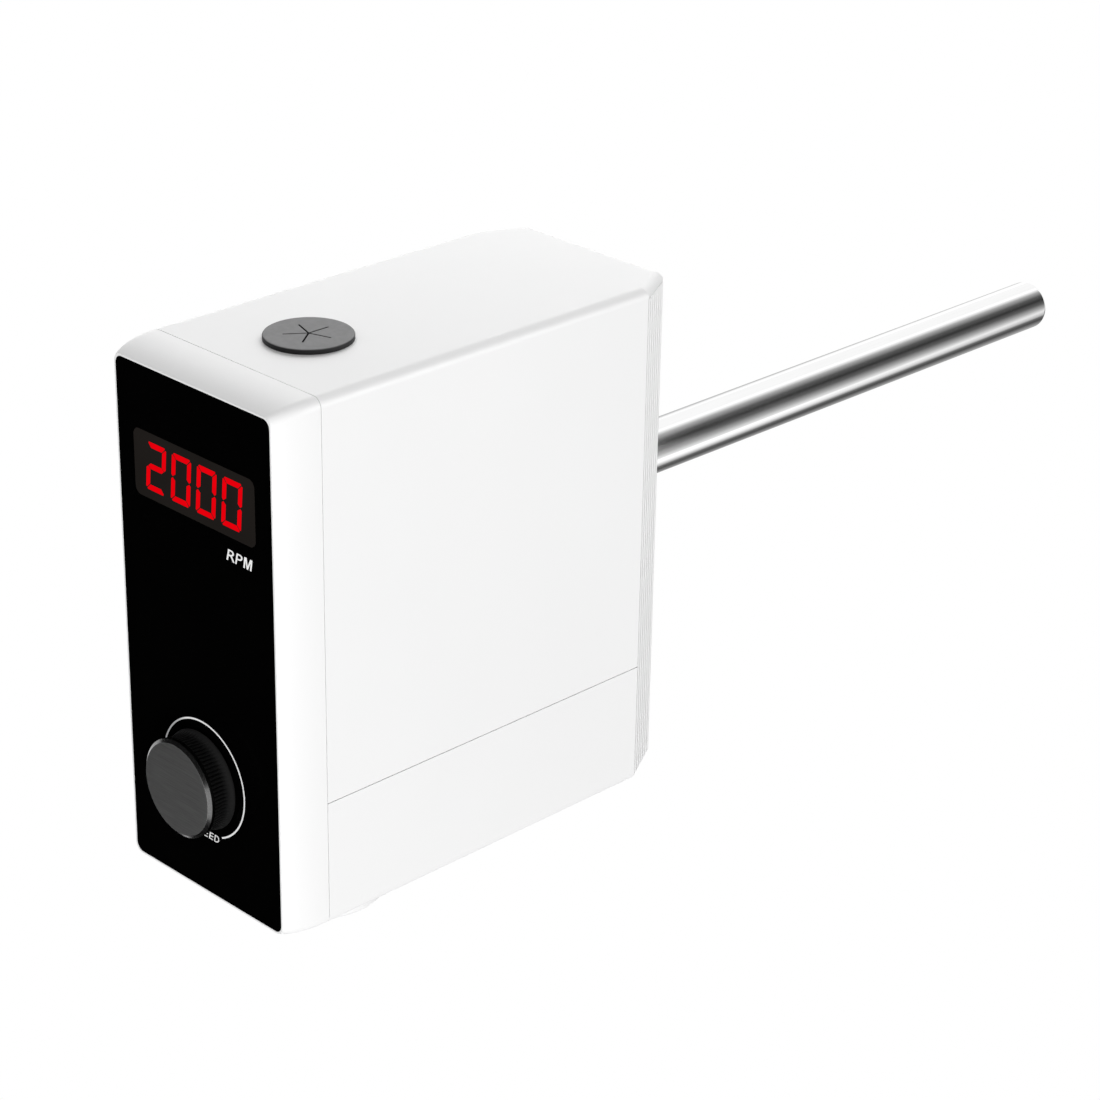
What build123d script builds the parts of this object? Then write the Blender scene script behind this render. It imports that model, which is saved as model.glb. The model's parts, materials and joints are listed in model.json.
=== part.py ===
"""Overhead laboratory stirrer with a hollow spindle, a keyless chuck and a support rod.

Frame: millimetres, +Z up, +Y backwards along the support rod, +X to the right
as seen from the front. The origin lies on the rod's axis, at the rear face.
"""

import os
from math import asin, cos, degrees, pi, radians, sin, sqrt, tan

from build123d import *

# ---------------------------------------------------------------- housing
housing_width = 83.0
housing_height = 186.0
housing_depth = 177.5
rod_height = 102.5  # rod axis above the underside
wall = 2.5
edge_radius = 3.5
bezel_depth = 17.5
bezel_draw_in = 3.0  # how far the bezel's top and sides curve in towards the panel
bezel_underside_draw_in = 1.6
bezel_sweep = 19.0  # half-length of the ellipse that these curves follow, along Y
bezel_steps = 6
lower_height = 45.5  # underside to the seam between lower and upper housing
corner_cut_x = 9.5
corner_cut_y = 16.8
joint_gap = 0.25  # shadow line between two covers
tongue_thickness = 1.4
tongue_length = 3.5
tongue_gap = 0.1
rear_tongue_gap = 0.4  # more room here, where the side walls start to turn inwards
rib_count = 7
rib_groove_width = 1.3
rib_groove_depth = 0.8
rib_groove_flare = 0.5  # how far a groove's cutter runs out past the surface
margin = 1.0  # how far a cutter runs past what it cuts
tongue_root = 0.2  # how far a tongue sinks into the wall that carries it
tongue_spacing = 1.5  # between the ends of neighbouring tongues
tongue_corner = 1.0
bezel_tongue_start = 4.0  # the bezel's own tongue starts this far in front of the seam
rear_tongue_inset = 4.0  # the rear tongues stop short of the floor and the ceiling

# ---------------------------------------------------------------- front panel
bezel_lip = 0.7  # the bezel's rim left round the panel
panel_thickness = 1.6
panel_corner = 3.0
panel_gap = 0.1
ledge_width = 3.0
ledge_thickness = 2.0
window_width = 60.0
window_height = 23.0
window_corner = 2.75
window_drop = 37.3  # the window's middle below the housing's top
window_gap = 0.05
window_flange = 2.0
window_flange_thickness = 1.0
board_depth = 11.0  # panel face to the display board's front
board_thickness = 1.6
board_side_gap = 3.0  # display board to the covers' inside
board_end_gap = 5.5
board_corner = 2.0
post_inset_x = 3.2  # a post's axis inside the display board's edges
post_inset_z = 5.0
post_radius = 3.0
post_bore = 1.0
post_bore_depth = 5.0
board_hole_radius = 1.5
board_screw_radius = 0.95
board_screw_depth = 4.0
board_screw_head = 2.4
board_screw_head_height = 1.6
display_side = 4.85  # the window's edge to the digit module's edge
display_end = 2.0
display_gap = 0.3  # between the window and the digit module

# ---------------------------------------------------------------- speed knob
knob_height = 44.8  # knob axis above the underside
knob_face_radius = 15.95
knob_rim_radius = 17.15
knob_neck_radius = 15.6
knob_skirt_radius = 16.9
knob_front = 11.3  # distances from the panel face outwards
knob_rim_front = 10.3
knob_rim_back = 9.1
knob_skirt_start = 2.6
knob_back = 0.9
knob_recess_radius = 8.0
knob_recess_depth = 3.6
knob_spigot_radius = 8.0
knob_spigot_length = 2.1
knob_skirt_edge = 0.4
knurl_count = 88
knurl_depth = 0.45
knurl_flare = 0.35  # how far a notch's cutter runs out past the grip
knurl_half_width = 0.35
encoder_width = 12.4
encoder_height = 13.2
encoder_depth = 6.5
encoder_front_wall = 0.5
encoder_rear_wall = 1.5
encoder_inside_radius = 4.5
collar_radius = 4.2
collar_thickness = 0.8
collar_gap = 0.3  # the collar's room in front of it, and the plunger's behind it
plunger_radius = 2.5
plunger_length = 2.0
panel_bush_gap = 0.15
encoder_shaft_radius = 3.0
encoder_flat = 1.5  # from the axis to the shaft's flat
encoder_bush_radius = 3.45
encoder_bush_front = 2.0
encoder_nut_radius = 5.6
encoder_nut_thickness = 1.8
running_clearance = 0.05

# ---------------------------------------------------------------- spindle
spindle_setback = 48.0  # panel face to the spindle axis
bore_radius = 5.25
spindle_radius = 8.5
spindle_shoulder_radius = 10.0
bearing_outer_radius = 17.5
bearing_width = 10.0
bearing_ball_radius = 2.4
bearing_ball_count = 9
bearing_ring_wall = 2.6
seat_lip = 2.0
seat_lip_reach = 2.5
seat_boss_radius = 23.0
seat_boss_rim = 1.0  # how far the upper boss stands above its bearing
seat_boss_skirt = 3.0  # how far the lower boss hangs below its bearing
spindle_chamfer = 0.6

# ---------------------------------------------------------------- chassis
side_space = 9.0  # between the chassis and the covers' inside
arm_thickness = 8.0
arm_nose_half_width = 20.0  # an arm's half width at the spindle
arm_shoulder = 16.0  # an arm starts to narrow this far in front of the motor's axis
head_room = 6.04  # the spindle pulley's top to the ceiling
lower_arm_height = 30.5
motor_back_gap = 3.5  # the motor to the back wall
back_wall_thickness = 8.0
rod_boss_radius = 14.0
rod_boss_gap = 0.3
gusset_size = 16.0
gusset_thickness = 4.0
overlap = 0.5  # how far a web, pillar or post sinks into what it grows from
cover_post_radius = 4.5
cover_post_inset = 6.0  # a post's axis inside the chassis's side
circlip_groove_depth = 1.0
circlip_groove_width = 1.3
circlip_groove_gap = 0.2

# ---------------------------------------------------------------- belt drive
belt_centres = 44.0
spindle_pulley_radius = 22.0
motor_pulley_radius = 11.0
groove_pitch = 2.34
groove_depth = 2.0
groove_count = 4
belt_lift = 0.5  # the belt stands off the pulleys by this much, measured radially
belt_back = 1.4
pulley_gap = 2.0  # between the upper boss and the pulley
pulley_flange = 1.2
pulley_flange_step = 0.3  # a plain land between a flange and the first groove
pulley_flange_thickness = 1.0
pulley_hub_radius = 11.0
pulley_hub_height = 3.0
motor_pulley_hub_radius = 7.0
pulley_dish_depth = 5.0
pulley_rim_wall = 2.0
pulley_hub_wall = 3.0
circlip_thickness = 1.2
circlip_width = 2.4
circlip_groove = 0.6  # how deep the spindle is grooved for its circlip
circlip_play = 0.02
circlip_opening = 2.5  # half the mouth of the spindle's circlip
spindle_nose = 1.4  # the spindle above its circlip
bearing_clip_play = 0.25
bearing_clip_sink = 0.9  # how far the bearing's circlip reaches into its groove
bearing_clip_width = 2.2  # how far it reaches in over the bearing
bearing_clip_opening = 3.0

# ---------------------------------------------------------------- motor
motor_radius = 26.0
motor_length = 52.0
motor_wall = 3.0
motor_flange_thickness = 6.0
motor_cap_thickness = 4.0
motor_pilot_radius = 11.0
motor_pilot_height = 3.0
motor_shaft_radius = 4.0
motor_bearing_radius = 8.0
motor_bearing_width = 4.0
rotor_radius = 12.9
rotor_length = 28.0
air_gap = 0.5
motor_screw_circle = 36.0
motor_bore_gap = 1.0
rotor_lift = 12.0  # the motor's underside to the rotor
stator_slot_count = 9
stator_slot_width = 4.0
stator_tooth_tip = 2.5  # the stack left inside a slot
stator_back_iron = 0.5  # and outside it
winding_overhang = 3.0
winding_inset = 0.3
motor_shaft_gap = 0.3
motor_shaft_nose = 0.6
motor_shaft_chamfer = 0.5
motor_screw_reach = 4.5
screw_hole_gap = 0.2

# ---------------------------------------------------------------- chuck
chuck_reach = 20.0  # nose below the underside
chuck_length = 31.0  # nose to shoulder
chuck_boss_gap = 5.0  # the chuck's top below the lower boss
chuck_opening_gap = 1.5  # round the chuck in the lower housing
chuck_radius = 17.0
chuck_neck_radius = 13.0
chuck_nose_radius = 11.5
chuck_bore_radius = 5.9
jaw_tilt = 18.0  # degrees from the spindle axis
jaw_radius = 3.0
jaw_rest_grip = 4.0  # gripping radius at rest: an 8 mm shaft
jaw_edge = 0.9  # the gripping land stands this far out of the jaw's two flanks
jaw_height = 22.0
jaw_foot = 4.0  # a jaw's blank starts this far below its tip
jaw_hole_foot = 8.0
jaw_wedge_reach = 30.0
jaw_recess = 1.0
jaw_clearance = 0.05
ring_radius = 23.3
ring_drop = 15.5  # ring's lower edge below the underside
ring_gap = 0.8
ring_upper_chamfer = 0.8
ring_floor = 5.0  # the ring's lower edge to the nut
ring_clearance = 0.08
nut_radius = 19.0
nut_height = 6.5
nut_split = 0.3
thread_height = 0.9  # how far the jaws stand out of the body into the nut
nut_play = 0.15
nut_relief = 0.3
ring_lower_chamfer = 1.2
jaw_count = 3
jaw_hole_height = 27.5
chuck_socket_depth = 15.0

# ---------------------------------------------------------------- rod and cap
rod_radius = 9.5
rod_length = 252.0
rod_end_round = 1.75
stud_radius = 8.0
stud_end_gap = 4.0  # the stud stops this far short of the boss's front end
stud_chamfer = 1.2
socket_depth_gap = 2.0
lock_screw_bite = 1.0  # how deep the lock screw's tip sits in the stud
lock_screw_recess = 1.0
fit_gap = 0.02
cap_radius = 14.8
cap_height = 1.7
cap_plug_radius = 12.0
cap_plug_wall = 1.4
cap_plug_reach = 2.2  # the plug's end below the ceiling
cap_bead = 0.7
cap_bead_height = 1.0
cap_bead_gap = 0.1
cap_rim_round = 0.5
slit_length = 8.05
slit_width = 0.65
slit_count = 5

# ---------------------------------------------------------------- small parts
screw_radius = 2.0
screw_head_radius = 3.5
screw_head_height = 2.2
screw_socket_radius = 1.6
screw_socket_depth = 1.2
lock_screw_socket_depth = 2.5
pan_head_height = 1.6
cross_half_length = 2.0
cross_half_width = 0.4
cross_depth = 0.8
cover_screw_gap = 0.2
cover_head_gap = 0.3
speed_disc_radius = 22.0
speed_disc_thickness = 1.0
speed_disc_lift = 1.5  # above the chuck's top
speed_disc_hub = 2.0
speed_disc_slots = 24
disc_slot_inset = 3.2  # a slot's middle inside the disc's rim
disc_slot_length = 3.6
disc_slot_width = 1.6
sensor_half_width = 5.0
sensor_thickness = 5.0
sensor_gap = 0.5  # between the sensor and the lower boss
sensor_bite = 4.5  # how far the fork reaches in over the disc
sensor_drop = 6.0
sensor_lower_gap = 1.2
sensor_upper_gap = 0.8
sensor_boss_gap = 0.3
switch_x = 14.0
jack_x = -16.0
inlet_height = 17.5  # switch and inlet above the underside
jack_body_radius = 5.5
jack_body_length = 12.0
jack_flange = 1.5
jack_socket_radius = 2.9
jack_socket_depth = 9.5
jack_pin_radius = 1.0
jack_pin_setback = 1.0
jack_nut_radius = 8.0
jack_nut_thickness = 2.0
cutout_gap = 0.1  # round the switch, the inlet and the base screws
switch_body_width = 13.0
switch_body_height = 19.0
switch_depth = 15.0
switch_frame_lip = 1.0
switch_frame_thickness = 1.5
switch_well_depth = 7.0  # behind the rocker's pivot
rocker_width = 8.6
rocker_height = 13.5
rocker_side_gap = 0.3
rocker_end_gap = 0.8
rocker_tilt = 6.0
rocker_y = -1.5  # the rocker's pivot
rocker_crown = 0.4  # the rocker's ridge in front of the frame
rocker_heel = 0.5
rocker_heel_inset = 1.2
rocker_keel_depth = 4.5
rocker_keel_half_height = 2.5
rocker_pivot_radius = 1.2
rocker_pivot_length = 1.4  # how far each pivot pin stands out of the rocker's side
rocker_pivot_end_gap = 0.1
spacer_length = 5.0
spacer_radius = 3.5
spacer_front = 9.5  # in front of the motor's axis
spacer_upper_drop = 8.0  # below the upper arm's underside
spacer_lower_rise = 17.0  # above the lower arm's underside
control_board_front = 16.5  # in front of the motor's axis
control_board_back = 3.0  # past the back wall
control_board_foot = 3.0  # below the lower arm
control_board_head = 2.0  # above the upper arm
capacitor_radius = 8.0
capacitor_length = 25.0
capacitor_round = 1.0
capacitor_spacing = 19.0
lock_screw_radius = 2.5
lock_screw_setback = 24.0  # the lock screw's axis behind the stud's front end
screw_reach = 11.0
screw_sink = 1.0
screw_end_gap = 1.0
pillar_radius = 5.0
base_screw_inset = 5.0  # inside the chassis's side
base_screw_back = 4.0  # in front of the back wall
base_screw_front = 12.5  # in front of the motor's axis
base_head_depth = 5.5
base_head_gap = 0.4
base_screw_end = 2.5  # the screw's end below the lower arm's top
base_hole_end = 1.5
cover_screw_drop = 8.0  # below the upper arm's underside
cover_screw_rise = 10.0  # above the lower arm's underside

# ---------------------------------------------------------------- worked out
bottom_z = -rod_height
top_z = bottom_z + housing_height
mid_z = (bottom_z + top_z) / 2
front_y = -housing_depth
seam_y = front_y + bezel_depth
cover_y = -corner_cut_y
lower_z = bottom_z + lower_height
half_width = housing_width / 2
half_height = housing_height / 2
inside_half_width = half_width - wall
panel_width = housing_width - 2 * (bezel_draw_in + bezel_lip)
panel_top = top_z - bezel_draw_in - bezel_lip
panel_bottom = bottom_z + bezel_underside_draw_in + bezel_lip
panel_height = panel_top - panel_bottom
board_width = housing_width - 2 * (wall + board_side_gap)
board_height = housing_height - 2 * (wall + board_end_gap)
post_x = board_width / 2 - post_inset_x
post_z = board_height / 2 - post_inset_z
ceiling_z = top_z - wall
floor_z = bottom_z + wall
ledge_y = front_y + panel_thickness
board_y = front_y + board_depth
knob_z = bottom_z + knob_height
window_z = top_z - window_drop
spindle_y = front_y + spindle_setback
motor_y = spindle_y + belt_centres
arm_half_width = inside_half_width - side_space
back_wall_front = motor_y + motor_radius + motor_back_gap
back_wall_y = back_wall_front + back_wall_thickness
stud_y = back_wall_y + stud_end_gap
lock_screw_y = stud_y + lock_screw_setback

groove_span = groove_count * groove_pitch
pulley_height = groove_span + 2 * (pulley_flange_thickness + pulley_flange_step)
pulley_top = ceiling_z - head_room
pulley_z = pulley_top - pulley_height
groove_z = pulley_z + (pulley_height - groove_span) / 2
spindle_top = pulley_top + circlip_thickness + spindle_nose
upper_boss_top = pulley_z - pulley_gap
upper_bearing_z = upper_boss_top - seat_boss_rim - bearing_width
upper_arm_z = upper_bearing_z - seat_lip
lower_arm_z = bottom_z + lower_arm_height
upper_arm_top = upper_arm_z + arm_thickness
lower_arm_top = lower_arm_z + arm_thickness
lower_bearing_z = lower_arm_z
lower_boss_top = lower_bearing_z + bearing_width + seat_lip
lower_boss_bottom = lower_bearing_z - seat_boss_skirt

motor_top = upper_arm_z
motor_bottom = motor_top - motor_length
rotor_z = motor_bottom + rotor_lift
motor_screw_offset = motor_screw_circle / 2 / sqrt(2)

nose_z = bottom_z - chuck_reach
jaw_tip_z = nose_z + jaw_recess
chuck_shoulder_z = nose_z + chuck_length
chuck_top_z = lower_boss_bottom - chuck_boss_gap
ring_bottom_z = bottom_z - ring_drop
ring_top_z = bottom_z - ring_gap
nut_z = ring_bottom_z + ring_floor
disc_z = chuck_top_z + speed_disc_lift
chuck_socket_z = chuck_top_z - chuck_socket_depth
panel_z = (panel_top + panel_bottom) / 2
inlet_z = bottom_z + inlet_height
base_head_z = bottom_z + base_head_depth
encoder_y = board_y - encoder_depth
hands = (-1, 1)
board_post_places = [(a * post_x, mid_z + b * post_z) for a in hands for b in hands]
base_screw_places = [
    (a * (arm_half_width - base_screw_inset), y)
    for a in hands
    for y in (back_wall_front - base_screw_back, motor_y - base_screw_front)
]
cover_screw_places = [
    (a * (arm_half_width - cover_post_inset), z)
    for a in hands
    for z in (upper_arm_z - cover_screw_drop, lower_arm_z + cover_screw_rise)
]
motor_screw_places = [
    (a * motor_screw_offset, motor_y + b * motor_screw_offset) for a in hands for b in hands
]
back_wall_middle = (back_wall_front + back_wall_y) / 2
spacer_places = (
    (motor_y - spacer_front, lower_arm_z + arm_thickness / 2),
    (motor_y - spacer_front, upper_arm_z + arm_thickness / 2),
    (back_wall_middle, lower_arm_z + spacer_lower_rise),
    (back_wall_middle, upper_arm_z - spacer_upper_drop),
)


def block(x0, x1, y0, y1, z0, z1):
    """A box from its six limits."""
    centre = Pos((x0 + x1) / 2, (y0 + y1) / 2, (z0 + z1) / 2)
    return centre * Box(x1 - x0, y1 - y0, z1 - z0)


def upright(radius, z0, z1, x=0.0, y=0.0):
    """A cylinder along Z."""
    return Pos(x, y, (z0 + z1) / 2) * Cylinder(radius, z1 - z0)


def lengthwise(radius, y0, y1, x=0.0, z=0.0):
    """A cylinder along Y."""
    return Pos(x, (y0 + y1) / 2, z) * Rot(90, 0, 0) * Cylinder(radius, y1 - y0)


def crosswise(radius, x0, x1, y=0.0, z=0.0):
    """A cylinder along X."""
    return Pos((x0 + x1) / 2, y, z) * Rot(0, 90, 0) * Cylinder(radius, x1 - x0)


def turned(points, x=0.0, y=0.0):
    """A body of revolution about a vertical axis, from (radius, height) points."""
    return Pos(x, y, 0) * revolve(Plane.XZ * Polygon(*points, align=None), Axis.Z)


def turned_lengthwise(points, z=0.0):
    """A body of revolution about an axis along Y, from (radius, y) points."""
    return Pos(0, 0, z) * revolve(Polygon(*points, align=None), Axis.Y)


def ring_z(outer, inner, z0, z1, x=0.0, y=0.0):
    """A plain ring along Z."""
    return upright(outer, z0, z1, x, y) - upright(inner, z0 - margin, z1 + margin, x, y)


def front_plate(width, height, corner, y0, y1, z):
    """A rounded rectangle standing across the Y axis."""
    outline = Plane(origin=(0, y0, z), x_dir=(1, 0, 0), z_dir=(0, 1, 0))
    return extrude(outline * RectangleRounded(width, height, corner), y1 - y0)


# ---------------------------------------------------------------- covers
def housing_plan():
    """The housing behind the seam, seen from above, with the two rear corners cut."""
    return Polygon(
        (-half_width, seam_y),
        (half_width, seam_y),
        (half_width, cover_y),
        (half_width - corner_cut_x, 0),
        (-half_width + corner_cut_x, 0),
        (-half_width, cover_y),
        align=None,
    )


def housing_block():
    """The solid envelope of the housing behind the seam, its long edges rounded."""
    solid = Pos(0, 0, bottom_z) * extrude(housing_plan(), housing_height)
    rims = [
        edge
        for edge in solid.edges()
        if abs(abs(edge.center().Z - mid_z) - half_height) < 0.01
        and edge.center().Y > seam_y + margin
    ]
    return fillet(rims, edge_radius)


def housing_cavity():
    """The space inside the covers, running forward through the seam."""
    inner = offset(housing_plan(), -wall, kind=Kind.INTERSECTION)
    forward = Pos(0, -2 * wall) * inner
    return Pos(0, 0, floor_z) * extrude(inner + forward, housing_height - 2 * wall)


def covers():
    """Upper housing, lower housing and rear cover, cut from one hollow envelope."""
    shell = housing_block() - housing_cavity()
    far = housing_depth
    cap_z = top_z - edge_radius
    front = seam_y + joint_gap / 2
    back = cover_y - joint_gap / 2

    upper = shell & (
        block(-far, far, front, back, lower_z + joint_gap / 2, top_z + margin)
        + block(-far, far, back - margin, far, cap_z, top_z + margin)
    )
    lower = shell & block(
        -far, far, front, back, bottom_z - margin, lower_z - joint_gap / 2
    )
    rear = shell & block(
        -far, far, cover_y + joint_gap / 2, far, bottom_z - margin, cap_z - joint_gap
    )
    return upper, lower, rear


def upper_housing(shell):
    """The upper housing, with the hole for the rubber cap over the spindle."""
    return shell - upright(
        cap_plug_radius, ceiling_z - margin, top_z + margin, 0, spindle_y
    )


def side_tongue(side, y0, y1, root_z, tip_z):
    """A strip along the inside of one side wall, reaching past the wall's edge."""
    inner = inside_half_width - tongue_thickness
    edge = (root_z + tip_z) / 2
    rooted = sorted((side * inner, side * (inside_half_width + tongue_root)))
    free = sorted((side * inner, side * (inside_half_width - tongue_gap)))
    strip = block(*free, y0, y1, root_z, tip_z)
    return strip + block(*rooted, y0, y1, root_z, edge - joint_gap)


def lower_housing(shell):
    """The lower housing: chuck opening, screw pillars and tongues for the upper one."""
    body = shell
    setback = tongue_length + tongue_spacing
    for side in hands:
        body += side_tongue(
            side,
            seam_y + setback,
            cover_y - setback,
            lower_z - tongue_length,
            lower_z + tongue_length,
        )
    low = bottom_z - margin
    for x, y in base_screw_places:
        body += upright(pillar_radius, floor_z - overlap, lower_arm_z, x, y)
        body -= upright(screw_radius + cutout_gap, low, lower_arm_z + margin, x, y)
        body -= upright(screw_head_radius + base_head_gap, low, base_head_z, x, y)
    opening = chuck_radius + chuck_opening_gap
    return body - upright(opening, low, floor_z + margin, 0, spindle_y)


def rear_cover(shell):
    """The rear cover: fluted corners, rod boss hole, switch and inlet cut-outs."""
    body = shell
    side = sqrt(corner_cut_x**2 + corner_cut_y**2)
    pitch = side / rib_count
    turn = degrees(asin(corner_cut_x / side))
    half_mouth = rib_groove_width / 2 * (1 + rib_groove_flare / rib_groove_depth)
    groove = Plane.XY.offset(bottom_z - margin) * Polygon(
        (-rib_groove_depth, 0),
        (rib_groove_flare, -half_mouth),
        (rib_groove_flare, half_mouth),
        align=None,
    )
    cutter = extrude(groove, housing_height - edge_radius + margin)
    for index in range(rib_count):
        along = (index + 0.5) * pitch
        x = half_width - along * corner_cut_x / side
        y = cover_y + along * corner_cut_y / side
        body -= Pos(x, y, 0) * Rot(0, 0, turn) * cutter
        body -= Pos(-x, y, 0) * Rot(0, 0, 180 - turn) * cutter
    outer = inside_half_width - rear_tongue_gap
    for hand in hands:
        span = sorted((hand * (outer - tongue_thickness), hand * outer))
        body += block(
            *span,
            cover_y - tongue_length,
            cover_y + tongue_length,
            floor_z + rear_tongue_inset,
            ceiling_z - rear_tongue_inset,
        )
    inner = -wall - margin
    body -= lengthwise(rod_boss_radius + rod_boss_gap, inner, margin)
    body -= lengthwise(jack_body_radius + cutout_gap, inner, margin, jack_x, inlet_z)
    half_w = switch_body_width / 2 + cutout_gap
    half_h = switch_body_height / 2 + cutout_gap
    body -= block(
        switch_x - half_w,
        switch_x + half_w,
        inner,
        margin,
        inlet_z - half_h,
        inlet_z + half_h,
    )
    for x, z in cover_screw_places:
        body -= lengthwise(screw_radius + cover_screw_gap, inner, margin, x, z)
        body -= lengthwise(screw_head_radius + cover_head_gap, -screw_sink, margin, x, z)
    return body


# ---------------------------------------------------------------- bezel and panel
def bezel_side(edge, draw_in, inset, start_y):
    """Points of one bezel side from the seam to a depth, and the direction it ends in.

    The side follows an ellipse whose centre lies in the seam's plane.
    """
    height = draw_in / (1 - sqrt(1 - (bezel_depth / bezel_sweep) ** 2))
    depths = [(seam_y - start_y) * step / bezel_steps for step in range(bezel_steps + 1)]
    rises = [sqrt(1 - (depth / bezel_sweep) ** 2) for depth in depths]
    points = [
        (edge - inset - height * (1 - rise), seam_y - depth)
        for depth, rise in zip(depths, rises)
    ]
    slope = height * depths[-1] / (bezel_sweep**2 * rises[-1])
    return points, (-slope, -1)


def bezel_section(half, low_draw_in, high_draw_in, inset, start_y):
    """A bezel section: straight front and back, sides that sweep in from the seam."""
    high, high_end = bezel_side(half, high_draw_in, inset, start_y)
    low, low_end = bezel_side(half, low_draw_in, inset, start_y)
    low = [(-x, y) for x, y in low]
    low_end = (-low_end[0], low_end[1])
    outline = (
        Line(low[0], high[0])
        + Spline(*high, tangents=((0, -1), high_end))
        + Line(high[-1], low[-1])
        + Spline(*low, tangents=((0, -1), low_end))
    )
    return make_face(outline)


def bulged_block(inset, start_y, corner):
    """The pillow-shaped bezel envelope, set in all round by inset."""
    plan = Plane.XY.offset(mid_z) * bezel_section(
        half_width, bezel_draw_in, bezel_draw_in, inset, start_y
    )
    profile_plane = Plane(origin=(0, 0, mid_z), x_dir=(0, 0, 1), z_dir=(-1, 0, 0))
    profile = profile_plane * bezel_section(
        half_height, bezel_underside_draw_in, bezel_draw_in, inset, start_y
    )
    solid = extrude(plan, housing_height, both=True) & extrude(
        profile, housing_width, both=True
    )
    corners = [
        edge
        for edge in solid.edges()
        if abs(edge.center().X) > half_width - bezel_depth / 2
        and abs(edge.center().Z - mid_z) > half_height - bezel_depth / 2
        and edge.length > bezel_depth / 2
    ]
    return fillet(corners, corner)


def front_bezel():
    """The convex frame round the panel, with a ledge, board posts and a rear tongue."""
    solid = bulged_block(0, front_y, edge_radius)
    inner_y = ledge_y + ledge_thickness
    solid -= bulged_block(wall, inner_y, edge_radius - wall)
    solid -= front_plate(
        panel_width + 2 * panel_gap,
        panel_height + 2 * panel_gap,
        panel_corner,
        front_y - margin,
        ledge_y,
        panel_z,
    )
    solid -= front_plate(
        panel_width - 2 * ledge_width,
        panel_height - 2 * ledge_width,
        panel_corner,
        front_y - margin,
        inner_y + margin,
        panel_z,
    )
    solid &= block(
        -housing_width,
        housing_width,
        front_y - margin,
        seam_y - joint_gap / 2,
        -housing_height,
        housing_height,
    )

    inside_width = housing_width - 2 * wall
    inside_height = housing_height - 2 * wall
    start = seam_y - bezel_tongue_start
    end = seam_y + tongue_length
    root = front_plate(
        inside_width + 2 * tongue_root,
        inside_height + 2 * tongue_root,
        tongue_corner + tongue_root,
        start,
        seam_y - overlap,
        mid_z,
    )
    tongue = front_plate(
        inside_width - 2 * tongue_gap,
        inside_height - 2 * tongue_gap,
        tongue_corner,
        start,
        end,
        mid_z,
    )
    hollow = front_plate(
        inside_width - 2 * tongue_thickness,
        inside_height - 2 * tongue_thickness,
        tongue_corner,
        start - margin,
        end + margin,
        mid_z,
    )
    solid += root + tongue - hollow
    for x, z in board_post_places:
        solid += lengthwise(post_radius, ledge_y + overlap, board_y, x, z)
        solid -= lengthwise(post_bore, board_y - post_bore_depth, board_y + margin, x, z)
    return solid


def front_panel():
    """The flat black panel, with the display window and the knob's bush hole."""
    plate = front_plate(panel_width, panel_height, panel_corner, front_y, ledge_y, panel_z)
    plate -= front_plate(
        window_width + 2 * window_gap,
        window_height + 2 * window_gap,
        window_corner,
        front_y - margin,
        ledge_y + margin,
        window_z,
    )
    bush_hole = encoder_bush_radius + panel_bush_gap
    return plate - lengthwise(bush_hole, front_y - margin, ledge_y + margin, 0, knob_z)


def display_window():
    """The tinted lens, flush with the panel and flanged behind it."""
    lens = front_plate(
        window_width, window_height, window_corner, front_y, ledge_y, window_z
    )
    return lens + front_plate(
        window_width + 2 * window_flange,
        window_height + 2 * window_flange,
        window_corner,
        ledge_y,
        ledge_y + window_flange_thickness,
        window_z,
    )


def display_board():
    """The circuit board behind the panel, on the bezel's four posts."""
    back = board_y + board_thickness
    board = front_plate(board_width, board_height, board_corner, board_y, back, mid_z)
    for x, z in board_post_places:
        board -= lengthwise(board_hole_radius, board_y - margin, back + margin, x, z)
    return board


def board_screws():
    """Four small screws holding the display board to the bezel's posts."""
    group = Part()
    for x, z in board_post_places:
        head_y = board_y + board_thickness
        group += lengthwise(
            board_screw_head, head_y, head_y + board_screw_head_height, x, z
        )
        group += lengthwise(board_screw_radius, board_y - board_screw_depth, head_y, x, z)
    return group


def led_display():
    """The four-digit module between the window and the board."""
    front = ledge_y + window_flange_thickness + display_gap
    half_w = window_width / 2 - display_side
    half_h = window_height / 2 - display_end
    return block(-half_w, half_w, front, board_y, window_z - half_h, window_z + half_h)


# ---------------------------------------------------------------- knob and encoder
def speed_knob():
    """The knurled grip with its soft skirt, open behind for the encoder's nut."""
    y_rim = front_y - knob_rim_back
    y_skirt = front_y - knob_skirt_start
    y_back = front_y - knob_back
    grip = turned_lengthwise(
        [
            (0, y_rim),
            (knob_neck_radius, y_rim),
            (knob_neck_radius, y_skirt),
            (knob_skirt_radius, y_back - knob_skirt_edge),
            (knob_skirt_radius, y_back),
            (0, y_back),
        ],
        knob_z,
    )
    knurl = Plane(origin=(0, y_rim, knob_z), x_dir=(1, 0, 0), z_dir=(0, 1, 0))
    notch = Polygon(
        (knurl_flare, -knurl_half_width),
        (-knurl_depth, 0),
        (knurl_flare, knurl_half_width),
        align=None,
    )
    notches = Sketch() + [
        place * notch for place in PolarLocations(knob_neck_radius, knurl_count)
    ]
    grip -= extrude(knurl * notches, y_skirt - y_rim)
    recess_y = y_back - knob_recess_depth
    grip -= lengthwise(knob_recess_radius, recess_y, y_back + margin, 0, knob_z)
    spigot_y = y_rim + knob_spigot_length
    grip -= lengthwise(knob_spigot_radius, y_rim - margin, spigot_y, 0, knob_z)
    return grip - shaft_d(y_rim - margin, y_back)


def shaft_d(y0, y1):
    """The encoder shaft's D section between two places along its axis."""
    side = encoder_shaft_radius + margin
    flat = block(
        -side, side, y0 - margin, y1 + margin, knob_z + encoder_flat, knob_z + side
    )
    return lengthwise(encoder_shaft_radius, y0, y1, 0, knob_z) - flat


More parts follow.
